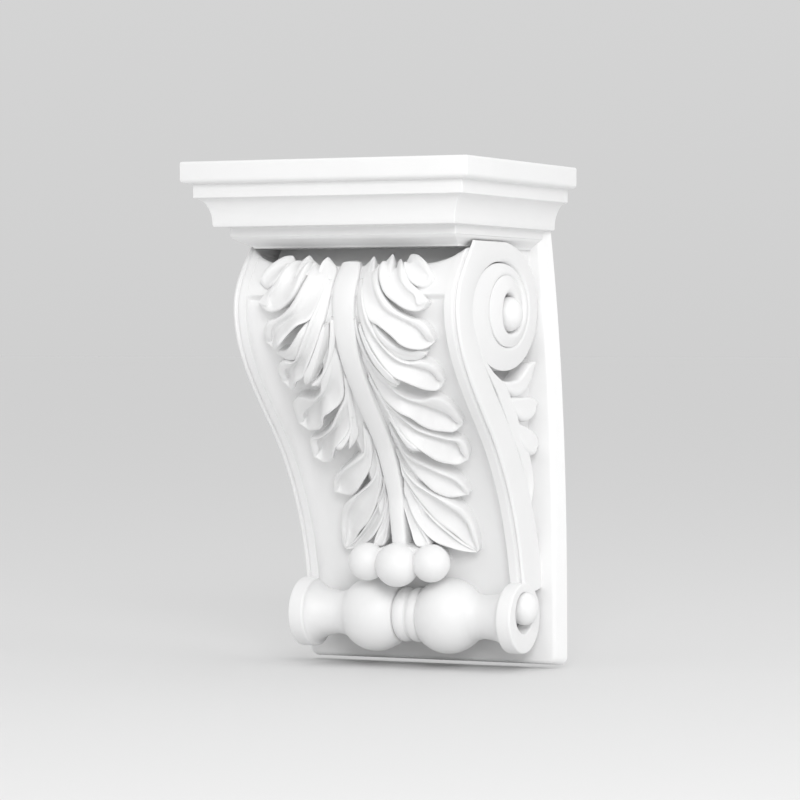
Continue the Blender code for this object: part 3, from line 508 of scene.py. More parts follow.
# Each lobe of the right half: upper edge (x, s, h) from the root, inner line (x, s), tip,
# lower edge back to the root, the hollow's depth, and where they differ the radii soft and edge.
LOBES = {
    "crown": (
        ((37, 20, 3), (39.6, 16, 5), (43.5, 16.6, 5.6), (49, 20.2, 5.6), (54, 25.4, 5)),
        ((38.6, 22), (42, 22), (47, 24), (51.5, 28)), (57.6, 33, 3),
        ((53, 37, 3.5), (47, 36.8, 6), (41, 32, 8), (37.5, 24.6, 8), (36.4, 21.6, 5)), 1.2),
    "shoulder": (
        ((29, 18, 0), (35, 21, 6.5), (39.5, 28, 8.5), (44, 35, 6.5), (50, 39.5, 4)),
        ((30, 22), (35, 29), (39, 35), (43.5, 39.5), (48.5, 43), (50.2, 47.5)), (56, 46, 3),
        ((51, 51, 3), (43, 50.5, 4.5), (35.5, 46.6, 6), (29.5, 42, 9), (25.5, 35, 11),
         (23.5, 24, 9), (24, 19, 2)), 2.6),
    "first": (
        ((19.5, 19, 0), (22, 25, 6), (24, 34, 7.5), (28.7, 43, 7), (35, 49.5, 5.5), (44, 54.7, 3),
         (51, 57, 2), (55.5, 64, -0.5)),
        ((17.5, 22), (20, 34), (25.7, 44.5), (30.3, 50), (37.5, 54.2), (43.4, 57.2), (48.7, 61),
         (51.2, 66.2), (52.3, 70)), (56, 72, -2.4),
        ((52, 74.5, 1), (46, 72.2, 8), (40.5, 68, 12.4), (34.5, 63, 12), (27, 58, 12),
         (20, 55.5, 9), (15.5, 50, 6.5), (12.5, 40, 4.5), (11.5, 28, 4), (13, 20, 1)), 3.4),
    "nip": (
        ((20.5, 55, 5), (27, 61.5, 9.4), (32, 66.8, 9), (37, 71.2, 7), (42.5, 75, 3.5),
         (47.5, 76, 0.5)),
        ((19.5, 56), (26, 64), (31, 70), (37, 75.5), (44, 79)), (50, 79, -1),
        ((45, 83.2, 0), (38.5, 82, 3), (33, 77, 7), (28, 70, 8.5), (22, 61, 8.5), (18.5, 55, 6)),
         0.8),
    "second": (
        ((12, 20, 0), (12.8, 34, 3), (15, 46, 5), (20, 56, 7.5), (26, 66, 8), (32, 75, 7),
         (39, 82.5, 3.5), (46.7, 83.7, 0.5), (52, 88, -1.5), (54.6, 95, -3)),
        ((11, 24), (12, 40), (15.8, 53), (21, 62.5), (27, 71), (33, 79), (39.4, 84.4), (43.5, 87.9),
         (48.3, 91.4), (50.2, 96), (50.6, 100)), (54.4, 102.5, -3),
        ((50, 107, 0), (44.5, 103.7, 4), (41, 98.5, 7.5), (36.5, 92.5, 10.6), (30.5, 88.5, 11.3),
         (25.5, 81.5, 11), (19.5, 72.5, 9), (13.7, 60.5, 6), (10, 48, 3.2), (8.5, 34, 2.4),
         (8.5, 22, 0)), 3.4),
    "second_flank": (
        ((12, 58, 4.5), (18.4, 71.4, 8.2), (24.6, 80.8, 10.2), (29.8, 88, 10.6)),
        ((11.4, 60), (17.2, 73.4), (23, 83.6), (28.6, 91)), (31, 95, 8),
        ((27, 95, 3), (22.6, 90, 0), (18.2, 83.2, -0.8), (14.2, 75.4, 0), (11.4, 67, 1.4),
         (9.8, 58, 2.4)), 0.0, 0.8, 0.4),
    "first_fold": (
        ((8.2, 54, 2), (10, 66, 2.6), (12.6, 76, 3.8), (16.6, 84.5, 5), (22, 91.4, 6)),
        ((8, 56), (9.6, 68), (12.4, 78), (16.6, 86.4), (22, 93)), (28.6, 97, 7),
        ((26.4, 99.2, 5), (20.6, 93.2, 5), (15.6, 87, 4.2), (11.3, 79.4, 3), (7.8, 70, 1.4),
         (6.3, 56, 1)), 0.0, 0.8, 0.6),
    "third": (
        ((8.5, 65, 0), (13, 77, 2.5), (18.5, 86, 4), (23, 94, 4), (26, 103, 4), (31.6, 109.4, 3),
         (38, 113, 1), (45.5, 113.2, -1), (51.8, 118.5, -2), (54.8, 128, -3)),
        ((9, 74), (14, 88), (19.5, 98), (24.5, 105), (28.8, 108.7), (33.3, 114.2), (39.1, 120.1),
         (45.5, 125.4), (49.6, 130.5), (51.7, 136)), (55.3, 138.8, -2.6),
        ((49.5, 142, 1), (43.5, 139.8, 3), (38, 137, 4.6), (33.5, 131, 6.8), (29, 122.5, 8.6),
         (23.5, 118.5, 8.6), (18, 115.5, 6), (13.5, 110.5, 4), (10.5, 100, 2.2), (7.5, 84, 0.8)),
         4.2),
    "fourth_flank": (
        ((13, 126, 3.4), (17.2, 135.8, 6.2), (22, 140.8, 9.4), (27.4, 145.8, 11.2)),
        ((12.4, 127), (16.6, 137.4), (21.4, 143), (26, 147.6)), (27, 150.5, 8),
        ((23, 149.5, 4), (19, 145, 2), (16, 138.5, 1), (13.4, 131, 1), (11.4, 125, 1.4)),
         0.0, 0.8, 0.4),
    "second_fold": (
        ((8.5, 92, 0.5), (11, 106, 1.5), (13.2, 118, 2.6), (15.6, 130, 4.4), (18.4, 140, 6.4)),
        ((8, 96), (10.4, 110), (13, 124), (16, 138)), (20.5, 149.5, 8),
        ((15.5, 145, 5), (12, 131, 2.6), (9, 112, 1), (6.5, 96, 0.4)), 0.5, 1.4),
    "fourth": (
        ((10, 102, 1), (14, 112.5, 2.5), (19, 119, 4), (24, 126, 4.6), (30, 134, 4.6),
         (37, 141, 2.5), (45, 147.5, -0.5), (51.3, 150.5, -2), (53.4, 157, -1.6)),
        ((10, 106), (13.4, 115), (18, 121), (23, 128), (29, 136), (36, 143), (42, 148), (46, 150.6),
         (48, 154), (48.8, 160)), (52.3, 164.5, 0),
        ((46, 167, 3), (40, 165, 5), (35.5, 160, 8.4), (32, 153, 11), (28, 146.5, 12),
         (22.4, 141.4, 10), (17.5, 136.5, 6.6), (13, 126, 3), (9, 110, 1)), 4.6),
    "fifth": (
        ((9, 134, 1), (12, 147, 3), (14.5, 156, 4), (20, 160, 5), (27, 165.2, 4.6), (35, 172, 3),
         (41.5, 178, 0.6), (45.3, 185, -0.6)),
        ((8.5, 138), (11.5, 151), (15, 160), (20.5, 164), (27.5, 169), (34, 174.5), (39, 179.5),
         (42, 184.5), (43.3, 189)), (45.9, 191.2, -1.1),
        ((40, 192.4, 1), (33.5, 191.6, 3.4), (27.5, 187, 6), (20.7, 179.1, 6.4), (14.5, 170.5, 5),
         (10.5, 161, 3.6), (7, 145, 1.2)), 2.8),
    "sixth_upper": (
        ((7, 155, 2), (10, 170, 4), (15, 178, 5), (24, 186, 5), (34, 193.5, 4), (41, 200.5, 1.6),
         (44.6, 209, 0), (46.6, 219, 0)),
        ((7, 160), (10.5, 175), (15, 181), (21.5, 186), (28, 191.5), (33.7, 198.6), (39.9, 207.1),
         (42.4, 214.2), (43.8, 222)), (45.6, 229.6, -0.5),
        ((39, 225, 1), (32.5, 217.6, 3), (24.4, 209.6, 4.4), (17.2, 198.8, 5.4), (11.8, 188.2, 5.4),
         (7, 177, 4)), 3.6),
    "sixth_lower": (
        ((6.5, 168, 2), (9, 183, 3), (14, 194, 3.6), (21, 205, 3.6), (29, 214.6, 2.4),
         (37, 223, 1)),
        ((6.5, 173), (9, 185.5), (14, 196.5), (21, 207.5), (29, 217), (37, 224.6)),
         (45, 230.2, -0.5),
        ((37.6, 229, 3), (30, 225, 7.4), (23, 220.5, 10.5), (15.5, 212, 11.4), (10, 203, 9.4),
         (6.5, 190, 6.4)), 2.6),
    "inner": (
        ((4.5, 180, 3), (8, 195, 6), (12, 206, 8), (17, 215, 10)),
        ((4.6, 184), (7.6, 198), (11.5, 208.5), (16, 216.5)), (19, 222, 11.5),
        ((12, 222, 14), (7.5, 210, 12), (4.5, 196, 9)), 1.0),
    "curl_inner": (
        ((20, 34, 4.6), (18.6, 26, 5.4), (17.6, 21, 5.6)),
        ((17, 32), (16.4, 24), (16, 20)), (15.4, 17.4, 5),
        ((12, 19.6, 4), (9, 23, 2.8), (8, 32, 2)), 0.8),
    "curl_outer": (
        ((32, 34, 8), (31.5, 26, 7.6), (30, 20.4, 6.8)),
        ((28, 32), (28, 24), (28, 19)), (27.8, 16.6, 5.8),
        ((25, 18.6, 5), (21, 22, 4.8), (19.5, 32, 5)), 1.0),
}


# The middle rib's half width and the height of its edges, as (s, value), and the same for
# the ground under the lobes.
STEM_HALF = ((13, 0.8), (15.5, 4.0), (19, 6.2), (30, 7.6), (58, 7.1), (82, 6.4), (130, 6.0),
             (171, 5.6), (202, 4.7), (224, 4.6))
STEM_EDGE = ((13, -6.0), (20, 1.0), (58, 0.0), (82, 1.2), (129, 1.2), (153, 1.7), (171, 3.8),
             (189, 6.3), (202, 10.5), (217, 13.2), (224, 14.0))
STEM_RISE = 2.4
STEM_POWER = 0.8
GROUND_HALF = ((20, 22), (60, 25), (150, 22), (216, 17))
GROUND_LIFT = ((20, -3), (150, -3), (190, -1), (216, 3))
GROUND_RISE = 4.5
GROUND_FALL = 5.0
GROUND_SHOULDER = 0.8


def down_front(s, pairs):
    """The values of a table of (s, value) at s, as a column, with straight lines between."""
    return np.interp(s, *zip(*pairs))[:, None]


def stem():
    """The leaf's middle rib: a low round back, 2.4 sin(a)^0.8 high, from the cap to the berries."""
    s = np.linspace(STEM_HALF[0][0], STEM_HALF[-1][0], 90)
    half, edge = down_front(s, STEM_HALF), down_front(s, STEM_EDGE)
    a = np.radians(np.linspace(0, 180, 22))
    x = np.concatenate([half, half * np.cos(a), -half], axis=1)
    foot = 0 * half + LOBE_FOOT
    h = np.concatenate([foot, edge + STEM_RISE * np.sin(a) ** STEM_POWER, foot], axis=1)
    return shell(on_front(x, s[:, None], h))


def leaf_ground():
    """The leaf's thick middle, out of sight under the lobes: a shallow trough whose sides fall."""
    s = np.linspace(GROUND_HALF[0][0], GROUND_HALF[-1][0], 60)
    f = np.linspace(-1, 1, 31)
    x = down_front(s, GROUND_HALF) * f
    fall = GROUND_FALL * smooth((np.abs(f) - GROUND_SHOULDER) / (1 - GROUND_SHOULDER))
    h = down_front(s, GROUND_LIFT) + GROUND_RISE * np.abs(f) - fall
    x = np.concatenate([x[:, :1], x, x[:, -1:]], axis=1)
    foot = 0 * x[:, :1] + LOBE_FOOT
    return shell(on_front(x, s[:, None], np.concatenate([foot, h, foot], axis=1)))


def leaf():
    """Stem, ground and lobes; the left half is the right one mirrored."""
    shells = [stem(), leaf_ground()]
    for rails in LOBES.values():
        made = lobe(on_front, *rails)
        shells += [made, mirrored(made)]
    piece("leaf", shells, crease=40)


# %% [markdown]
# A raised band edges the console on both sides. It starts behind the roll, carries the
# front's rim and the side's edge up the S, and then winds into a volute of two and a half
# turns. It is one strip: stations run along it, each with an outer and a rear line, and the
# same section is set between the two lines. On the S that is a flat bead, with a fine quirk
# cut in front of its edge. In the volute it is a turn that lies low at its outer line, rises
# inwards and rounds down again, as a rolled sheet would. The inner turns stand further out,
# and the last one sinks away beside the eye, a round knob.

# %% Side bands with their volutes
VOLUTE_CENTRE = np.array((-64.0, TOP - 89.0))
VOLUTE_STRETCH = 1.25
VOLUTE_RADII = (58.8, 41.5, 42.3, 37.0, 39.0, 27.8, 26.8, 22.5, 21.2, 21.0, 18.6, 14.4, 8.4, 10.6)
VOLUTE_TURNS = 2.5
BULGE_SHARE = 0.172
QUARTER = 0.25
TURN_STEP = 1 / 90
CURL_TURNS = 0.3
BAND_WIDTH = (22.3, 30.5)    # up to half way down the S, and at its foot
BAND_EDGE = 1.4
BAND_BULGE = 0.8
BAND_ACROSS = np.concatenate([np.linspace(0, 0.3, 22), np.linspace(0.35, 0.7, 8),
                              np.linspace(0.73, 0.97, 12), [0.985, 1.0]])[None, :]
RIM_ACROSS = np.concatenate([[HALF_FIELD, HALF_FIELD + 2],
                             np.linspace(70, HALF_CONSOLE - BAND_EDGE - BAND_BULGE, 16)])[None, :]
QUIRK_PLACE = 72.4
QUIRK_DEPTH = 1.6
QUIRK_WIDTH = 0.9
INNER_ROUND = 3.4
INNER_DEPTH = (3.6, 2.5)
TURN_LOW = 2.6
TURN_POWER = 1.6
TURN_LIFT = 2.6
LIFT_TURNS = (0.5, 1.0)    # the turn where the lift starts, and how long it takes
END_SINK = 9.0
END_TURNS = 0.28
TOP_GAP = 1.0
TOP_GAP_TURNS = 0.13
TURN_LAP = 0.2
SIDE_DEEP = 64.0
START_DEEP = 4.0
KNOB_MIDDLE = 74.5
KNOB_RISE = 8.5
EYE_PLACE = VOLUTE_CENTRE + (5.6, -2.5)
EYE_RADIUS = 10.5


def ball(x, y, z, radius, rise=None):
    """A ball by latitude and longitude; with rise it is only that deep from middle to top along X."""
    tilt = np.radians(np.linspace(-89, 89, 40))[:, None]
    a = np.linspace(0, 2 * math.pi, 64, endpoint=False)
    points = np.stack([x + (rise or radius) * np.cos(tilt) * np.cos(a),
                       y + radius * np.cos(tilt) * np.sin(a),
                       z + radius * np.sin(tilt) + 0 * a], axis=-1)
    return shell(points)


def volute(turn, radius):
    """A spiral point: turn 0 is straight up, turns run towards the wall, y is stretched."""
    angle = 2 * math.pi * turn
    around = np.stack([VOLUTE_STRETCH * np.sin(angle), np.cos(angle)], axis=-1)
    return VOLUTE_CENTRE + radius[:, None] * around


def volute_radius(turn):
    """One radius for each quarter turn, from a quarter before the top, smoothly joined."""
    return through(turn, QUARTER * np.arange(-1, len(VOLUTE_RADII) - 1), VOLUTE_RADII)


def band_stations():
    """The strip's lines, up the S from the roll and then round the volute.

    For each station: outer and rear line as (y, z), the direction out of the S, the place s
    on it, curl, which goes from 0 on the S to 1 in the volute, and the turn's lift. The rear
    line of a turn is the outer line of the next one, TURN_LAP under it but for the top, where
    a gap of TOP_GAP e^(-(turn/0.13)^2) opens. The lift climbs to TURN_LIFT, and at the end
    it falls by END_SINK.
    """
    share = np.linspace(1.0, BULGE_SHARE, 110)[:-1]
    turn = np.arange(-QUARTER, VOLUTE_TURNS, TURN_STEP)
    s = FRONT_LENGTH * np.concatenate([share, BULGE_SHARE * np.clip(-turn / QUARTER, 0, 1)])
    outer, out = on_curve(s)
    straight = len(share)
    width = between(BAND_WIDTH, smooth(2 * share - 1))
    gap = TOP_GAP * np.exp(-(turn / TOP_GAP_TURNS) ** 2) - TURN_LAP
    rear = np.concatenate([outer[:straight] - out[:straight] * width[:, None],
                           volute(turn, volute_radius(turn + 1) + gap)])
    spiral = volute(turn, volute_radius(turn))
    outer[straight:] = np.where(turn[:, None] < 0, outer[straight:], spiral)
    curl = np.concatenate([0 * share, smooth(turn / CURL_TURNS)])
    lift = TURN_LIFT * smooth((turn - LIFT_TURNS[0]) / LIFT_TURNS[1])
    lift = lift - END_SINK * smooth((turn - VOLUTE_TURNS) / END_TURNS + 1)
    return outer, rear, out, s[:, None], curl[:, None], np.concatenate([0 * share, lift])[:, None]


def band():
    """The strip for the right side, across from the front's field over the edge to the rear line.

    At share f across the side, the S has the bulge 1 - (2f - 1)^2 and the volute the slope
    (1 - f)^1.6; both round off at the rear on a quarter circle. The quirk is a groove
    e^(-((x - 72.4)/0.9)^2) across the front's rim.
    """
    outer, rear, out, s, curl, lift = band_stations()
    f = BAND_ACROSS
    wide = np.linalg.norm(rear - outer, axis=1)[:, None]
    across = f * wide
    arris = BAND_EDGE * (1 - np.sqrt(1 - np.clip(1 - across / BAND_EDGE, 0, 1) ** 2))
    straight = HALF_CONSOLE - BAND_BULGE * (2 * f - 1) ** 2 - arris
    rolled = HALF_CONSOLE + lift - TURN_LOW * (1 - f) ** TURN_POWER
    inner = np.clip((across - wide) / INNER_ROUND + 1, 0, 1)
    side_x = between((straight, rolled), curl)
    side_x = side_x - between(INNER_DEPTH, curl) * (1 - np.sqrt(1 - inner ** 2))
    side = between((outer[:, None], rear[:, None]), f[..., None])
    side = np.concatenate([side_x[..., None], side], axis=-1)
    quirk = QUIRK_DEPTH * np.exp(-((RIM_ACROSS - QUIRK_PLACE) / QUIRK_WIDTH) ** 2)
    rim_x = np.where(curl > 0, np.minimum(RIM_ACROSS, SIDE_DEEP), RIM_ACROSS)
    drop = (hollow(rim_x, s) + quirk) * (1 - curl)
    rim = outer[:, None] - out[:, None] * drop[..., None]
    rim = np.concatenate([rim_x[..., None], rim], axis=-1)
    foot = np.concatenate([0 * wide + SIDE_DEEP, rear], axis=1)[:, None]
    start = rim[:, :1].copy()
    start[:, 0, 1:] -= out * START_DEEP * (1 - curl)
    return shell(np.concatenate([start, rim, side, foot], axis=1))


def side_bands():
    """Bands and eyes of both sides."""
    shells = [band(), ball(KNOB_MIDDLE, *EYE_PLACE, EYE_RADIUS, KNOB_RISE)]
    piece("side_bands", shells + [mirrored(made) for made in shells])


# %% [markdown]
# Under each volute a stem runs down behind the band, and three husks hang from it like pods,
# their tips curled up towards the wall. They are made as the leaf's lobes are, drawn on the
# side as (y, z, height over the sunk side).

# %% Husks
HUSK_FOOT = -3.0
HUSKS = {
    "stem": (
        ((-100.4, 40.8, 7), (-94.2, 33.6, 7.2), (-72.4, 13.8, 7.2), (-53, -8, 7), (-34, -31, 7)),
        ((-98.6, 40.8), (-92.4, 33.6), (-70.6, 13.8), (-51.2, -8), (-32.2, -31)), (-20.5, -60, 5),
        ((-19, -50, 7), (-18.4, -42, 7.6), (-21, -32, 7.8), (-28, -20, 8), (-38, -8, 8),
         (-48, 5, 8), (-59, 17, 8), (-66, 22, 8), (-78, 27.4, 7.6), (-92, 37, 6)), 0.0, 1.6, 0.8),
    "upper": (
        ((-74, 25, 6), (-66, 23, 7.4), (-55, 22.4, 8.4), (-44, 24, 9), (-34, 29, 9),
         (-25, 33.6, 8.6)),
        ((-72, 23), (-62, 21.6), (-52, 20.5), (-42, 21.6), (-32, 26), (-24, 31)), (-17, 34, 8),
        ((-21, 26, 8.4), (-29, 18.5, 9), (-38, 14, 9), (-47, 13, 9), (-56, 15, 8.4), (-66, 20, 7)),
         0.0, 3.4, 2.0),
    "middle": (
        ((-58, 11, 6), (-50, 12.6, 7.4), (-40, 12.4, 8.2), (-30, 12.6, 8.6), (-21, 12, 8.4)),
        ((-57, 9), (-49, 9.5), (-39, 8.6), (-28, 8.8), (-19, 9)), (-13.5, 8.6, 8),
        ((-18, 1.6, 8.8), (-26, -2, 9), (-34, -2.6, 9), (-42, -0.5, 8.6), (-50, 5, 7.6)),
         0.0, 3.4, 2.0),
    "lower": (
        ((-53, -3, 6), (-46, -2.5, 7.2), (-37, -4.4, 8), (-28, -6.5, 8.4), (-19, -9.5, 8.4),
         (-13, -13.5, 8)),
        ((-51, -4), (-44, -5), (-35, -8), (-26, -10.4), (-18, -13.4)), (-11.4, -18, 7.6),
        ((-15.5, -22.6, 8.4), (-23, -24, 9), (-31, -21.6, 9), (-39, -16, 8.4), (-47, -8, 7)),
         0.0, 3.4, 2.0),
}


def on_side(y, z, h):
    """Points over the sunk side, h millimetres out."""
    return np.stack([SIDE_SUNK + h, y, z], axis=-1)


def husks():
    """The husks and their stems, on both sides."""
    shells = []
    for rails in HUSKS.values():
        made = lobe(on_side, *rails, foot=HUSK_FOOT)
        shells += [made, mirrored(made)]
    piece("husks", shells, crease=40)


# %% [markdown]
# Three berries close the leaf. They are plain balls, the middle one larger and further out,
# and a boss behind them ties them to the console.

# %% Berries
BERRY_HEIGHT = BOTTOM + 63.6
BERRIES = ((0.0, -60.0, BERRY_HEIGHT, 13.7), (21.8, -57.0, BERRY_HEIGHT + 1.4, 11.8))
BOSS_Y = (-20.0, -60.0)
BOSS_WIDE = (1.25, 0.80)
BOSS_TALL = (0.95, 0.60)
BOSS_LIFT = 4.0


def berry_boss():
    """An oval stump from inside the console to inside the berries."""
    a = np.linspace(0, 2 * math.pi, 48, endpoint=False)
    share = np.linspace(0, 1, 12)[:, None]
    y = between(BOSS_Y, share) + 0 * a
    x = BERRIES[1][0] * between(BOSS_WIDE, share) * np.cos(a)
    z = BERRY_HEIGHT + BOSS_LIFT + BERRIES[0][3] * between(BOSS_TALL, share) * np.sin(a)
    return shell(np.stack([x, y, z], axis=-1))


def berries():
    """The middle berry, one at each side, and the boss."""
    side = ball(*BERRIES[1])
    piece("berries", [ball(*BERRIES[0]), side, mirrored(side), berry_boss()])


# %% [markdown]
# The roll across the foot looks turned on a lathe: two beads in the middle, two round bulbs,
# two thin necks, and a disc at each end. Its radius is a profile along X, and the profile
# turned round the axis is the surface. Each disc is hollowed a little above its middle, and a
# round knob like the volute's eye lies in the hollow.

# %% Roll at the foot
ROLL_AXIS = (-36.2, BOTTOM + 31.2)
BULB_RADIUS = 23.6
BULB_PLACE = 24.8
BEAD_WIDTH = 8.5
BEAD_RADIUS = 17.0
BEAD_RISE = 3.4
BEAD_ARC = (148, 18)
NECK_PLACE = 47.0
NECK_RADIUS = 13.5
DISC_INNER = 66.0
DISC_RADIUS = 21.8
DISC_CHAMFER = (0.8, 1.0)    # along X, off the radius
DISC_OVAL = 1.10
END_HOLLOW = 12.8
END_DRAFT = 0.6
END_DEEP = 10.0
END_EASE = 1.2
END_LIFT = 3.4
END_KNOB = (2.5, 5.8)
END_KNOB_RADIUS = 10.2


def roll_profile():
    """Half of the profile as (x, radius): bead, bulb, neck, flare, disc and hollow."""
    middle = (BEAD_WIDTH / 2, BEAD_RADIUS - BEAD_RISE)
    bead = arc_of((0, 0), 1, *BEAD_ARC, 12) * (BEAD_WIDTH / 2, BEAD_RISE) + middle
    start = math.degrees(math.acos((BULB_PLACE - BEAD_WIDTH) / BULB_RADIUS))
    stop = math.degrees(math.asin(NECK_RADIUS / BULB_RADIUS)) + 5
    bulb = arc_of((BULB_PLACE, 0), BULB_RADIUS, 180 - start, stop, 26)
    reach, climb = arc_of((0, 1), 1, -90, -6, 18).T
    shoulder = DISC_RADIUS - DISC_CHAMFER[1]
    flare = np.stack([between((NECK_PLACE, DISC_INNER), reach / reach[-1]),
                      between((NECK_RADIUS, shoulder), climb)], axis=-1)
    floor = HALF_CONSOLE - END_DEEP
    rim = eased([(DISC_INNER, shoulder), (DISC_INNER + DISC_CHAMFER[0], DISC_RADIUS),
                 (HALF_CONSOLE, DISC_RADIUS), (HALF_CONSOLE, END_HOLLOW),
                 (floor, END_HOLLOW - END_DRAFT), (floor, 0.5)], END_EASE)
    return np.concatenate([bead, bulb, flare[1:], rim])


def foot_roll():
    """The profile turned round the roll's axis; the end discs are a little deeper than tall.

    On the end faces the circles climb, from no lift at the disc's edge to END_LIFT at the hollow's.
    """
    half = roll_profile()
    x, radius = np.concatenate([half[::-1] * (-1, 1), half]).T[..., None]
    a = np.linspace(0, 2 * math.pi, 96, endpoint=False)
    outward = smooth((np.abs(x) - NECK_PLACE) / (DISC_INNER - NECK_PLACE))
    y = ROLL_AXIS[0] + radius * between((1, DISC_OVAL), outward) * np.cos(a)
    inside = smooth((DISC_RADIUS - radius) / (DISC_RADIUS - END_HOLLOW))
    inside = inside * (np.abs(x) > DISC_INNER + 1)
    z = ROLL_AXIS[1] + END_LIFT * inside + radius * np.sin(a)
    roll = shell(np.stack([x + 0 * a, y, z], axis=-1))
    knob = ball(KNOB_MIDDLE, ROLL_AXIS[0] + END_KNOB[0], ROLL_AXIS[1] + END_KNOB[1],
                END_KNOB_RADIUS, KNOB_RISE)
    piece("foot_roll", [roll, knob, mirrored(knob)])


# %% [markdown]
# Each function above makes one piece of the dressed part. They are all of the one casting, so
# each stands for its node and is placed by its body.

# %% Build the pieces
cap()
back_plate()
console()
side_bands()
husks()
leaf()
berries()
foot_roll()

# %% [markdown]
# The casting is rigid polyurethane foam with a dense skin, sprayed with a white satin primer.
# Seen close, such a primer is not perfectly even: it dries with a fine orange peel, and its
# tone and gloss drift a little over some centimetres. The node functions below build that
# from noise in the object's own coordinates.

# %% White satin primer
PRIMER_LIGHT = "F1F1F1"
PRIMER_DARK = "EBEBEB"
PEEL_SIZE = 1.6     # millimetres; true orange peel is about 0.8, too fine to show at this distance
PEEL_HEIGHT = 0.02
DRIFT_SIZE = 35.0
ROUGHNESS = (0.40, 0.52)


def linear(colour):
    """An sRGB hex colour as linear red, green, blue and alpha."""
    parts = np.array([int(colour[k:k + 2], 16) for k in (0, 2, 4)]) / 255
    values = np.where(parts <= 0.04045, parts / 12.92, ((parts + 0.055) / 1.055) ** 2.4)
    return (*values, 1.0)


def add_node(tree, kind, links=(), **settings):
    """A new node; links are (input, socket to link from), other settings are inputs or properties."""
    node = tree.nodes.new(kind)
    for name, value in settings.items():
        name = name.replace("_", " ") if name[0].isupper() else name
        if name in node.inputs:
            node.inputs[name].default_value = value
        else:
            setattr(node, name, value)
    for name, source in links:
        tree.links.new(source, node.inputs[name])
    return node


def satin_primer():
    """White primer: a drift of tone and gloss, and a fine bump."""
    material = bpy.data.materials.new("white_satin_primer")
    material.use_nodes = True
    tree = material.node_tree
    shader = tree.nodes["Principled BSDF"]
    place = add_node(tree, "ShaderNodeTexCoord").outputs["Object"]
    drift = add_node(tree, "ShaderNodeTexNoise", [("Vector", place)],
                     Scale=1 / (DRIFT_SIZE * MM), Detail=3.0)
    tone = add_node(tree, "ShaderNodeMix", [("Factor", drift.outputs["Fac"])], data_type="RGBA")
    tone.inputs["A"].default_value = linear(PRIMER_LIGHT)
    tone.inputs["B"].default_value = linear(PRIMER_DARK)
    gloss = add_node(tree, "ShaderNodeMapRange", [("Value", drift.outputs["Fac"])])
    gloss.inputs["To Min"].default_value = ROUGHNESS[0]
    gloss.inputs["To Max"].default_value = ROUGHNESS[1]
    peel = add_node(tree, "ShaderNodeTexNoise", [("Vector", place)],
                    Scale=1 / (PEEL_SIZE * MM), Detail=2.0)
    bump = add_node(tree, "ShaderNodeBump", [("Height", peel.outputs["Fac"])],
                    Strength=1.0, Distance=PEEL_HEIGHT * MM)
    tree.links.new(tone.outputs["Result"], shader.inputs["Base Color"])
    tree.links.new(gloss.outputs["Result"], shader.inputs["Roughness"])
    tree.links.new(bump.outputs["Normal"], shader.inputs["Normal"])
    return material


primer = satin_primer()
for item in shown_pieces():
    item.data.materials.clear()
    item.data.materials.append(primer)

# %% [markdown]
# The camera stands at the front, a little to the right, with a long lens, because the
# mouldings' level lines hardly draw together. The floor is one pale sheet. The studio's dome
# is as grey as the far floor at the horizon and brighter overhead. A large soft box stands
# to the front and the right, so the left flank of each form falls into soft shade, and a
# weaker one lights the side with the volute.

# %% Camera, floor and light
FOCAL_LENGTH = 157.5
SENSOR_WIDTH = 36.0
CAMERA_YAW = math.radians(25.24)
CAMERA_PITCH = math.radians(0.875)
CAMERA_PLACE = (0.92456, -2.01702, 0.04373)
FLOOR = "E2E2E2"
FLOOR_HALF = 60.0      # metres, so that the horizon looks straight
FLOOR_DROP = 2.0
FLOOR_ROUGHNESS = 0.9
DOME_LOW = "D0D0D0"
DOME_HIGH = "F4F4F4"


def aimed(item, direction):
    """Turn a camera or a lamp so that it looks along a direction."""
    item.rotation_mode = "QUATERNION"
    item.rotation_quaternion = Vector(direction).to_track_quat("-Z", "Y")
    bpy.context.collection.objects.link(item)
    return item


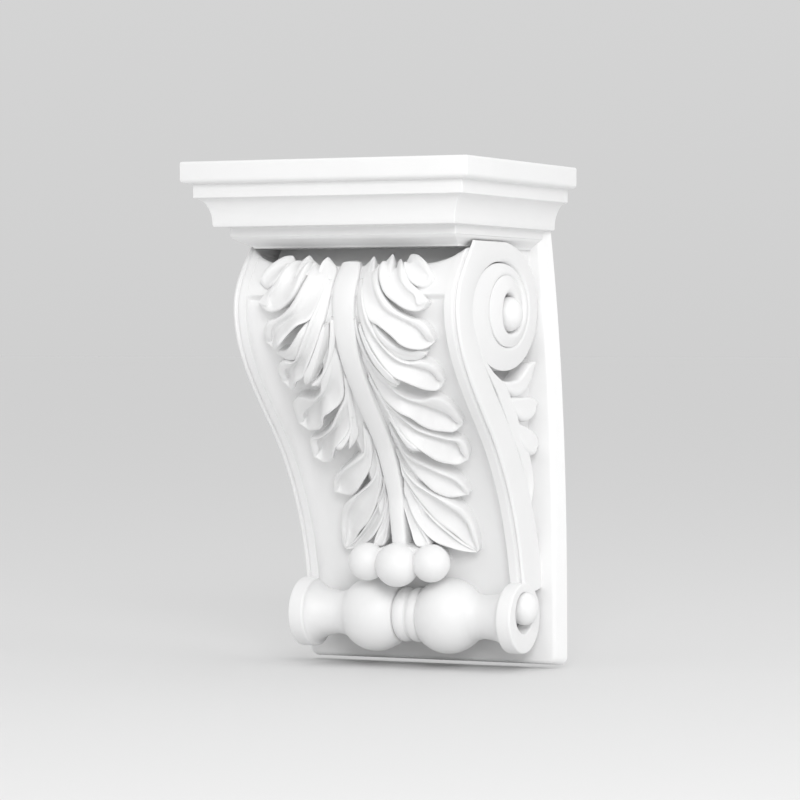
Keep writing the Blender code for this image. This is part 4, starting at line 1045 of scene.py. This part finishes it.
camera_data = bpy.data.cameras.new("camera")
camera_data.lens = FOCAL_LENGTH
camera_data.sensor_width = SENSOR_WIDTH
camera = aimed(bpy.data.objects.new("camera", camera_data),
               (-math.sin(CAMERA_YAW) * math.cos(CAMERA_PITCH),
                math.cos(CAMERA_YAW) * math.cos(CAMERA_PITCH), -math.sin(CAMERA_PITCH)))
camera.location = CAMERA_PLACE
bpy.context.scene.camera = camera

floor_mesh = bpy.data.meshes.new("floor")
level = (BOTTOM - FLOOR_DROP) * MM
corners = [(-FLOOR_HALF, -FLOOR_HALF, level), (FLOOR_HALF, -FLOOR_HALF, level),
           (FLOOR_HALF, FLOOR_HALF, level), (-FLOOR_HALF, FLOOR_HALF, level)]
floor_mesh.from_pydata(corners, [], [(0, 1, 2, 3)])
floor = bpy.data.objects.new("floor", floor_mesh)
bpy.context.collection.objects.link(floor)
pale = bpy.data.materials.new("pale_paper")
pale.use_nodes = True
pale.node_tree.nodes["Principled BSDF"].inputs["Base Color"].default_value = linear(FLOOR)
pale.node_tree.nodes["Principled BSDF"].inputs["Roughness"].default_value = FLOOR_ROUGHNESS
floor_mesh.materials.append(pale)

world = bpy.data.worlds.new("studio")
world.use_nodes = True
sky = world.node_tree
direction = add_node(sky, "ShaderNodeTexCoord").outputs["Generated"]
upwards = add_node(sky, "ShaderNodeSeparateXYZ", [("Vector", direction)]).outputs["Z"]
dome = add_node(sky, "ShaderNodeMix", [("Factor", upwards)], data_type="RGBA")
dome.inputs["A"].default_value = linear(DOME_LOW)
dome.inputs["B"].default_value = linear(DOME_HIGH)
sky.links.new(dome.outputs["Result"], sky.nodes["Background"].inputs["Color"])
bpy.context.scene.world = world


def lamp(name, place, size, power):
    """A square soft box that points at the corbel's middle."""
    data = bpy.data.lights.new(name, "AREA")
    data.size, data.energy = size, power
    item = aimed(bpy.data.objects.new(name, data), -Vector(place))
    item.location = place
    return item


lamp("key", place=(1.2, -2.15, 1.0), size=1.0, power=25)
lamp("side", place=(2.6, -0.6, 0.9), size=1.6, power=11)
bpy.context.scene.view_settings.view_transform = "Standard"
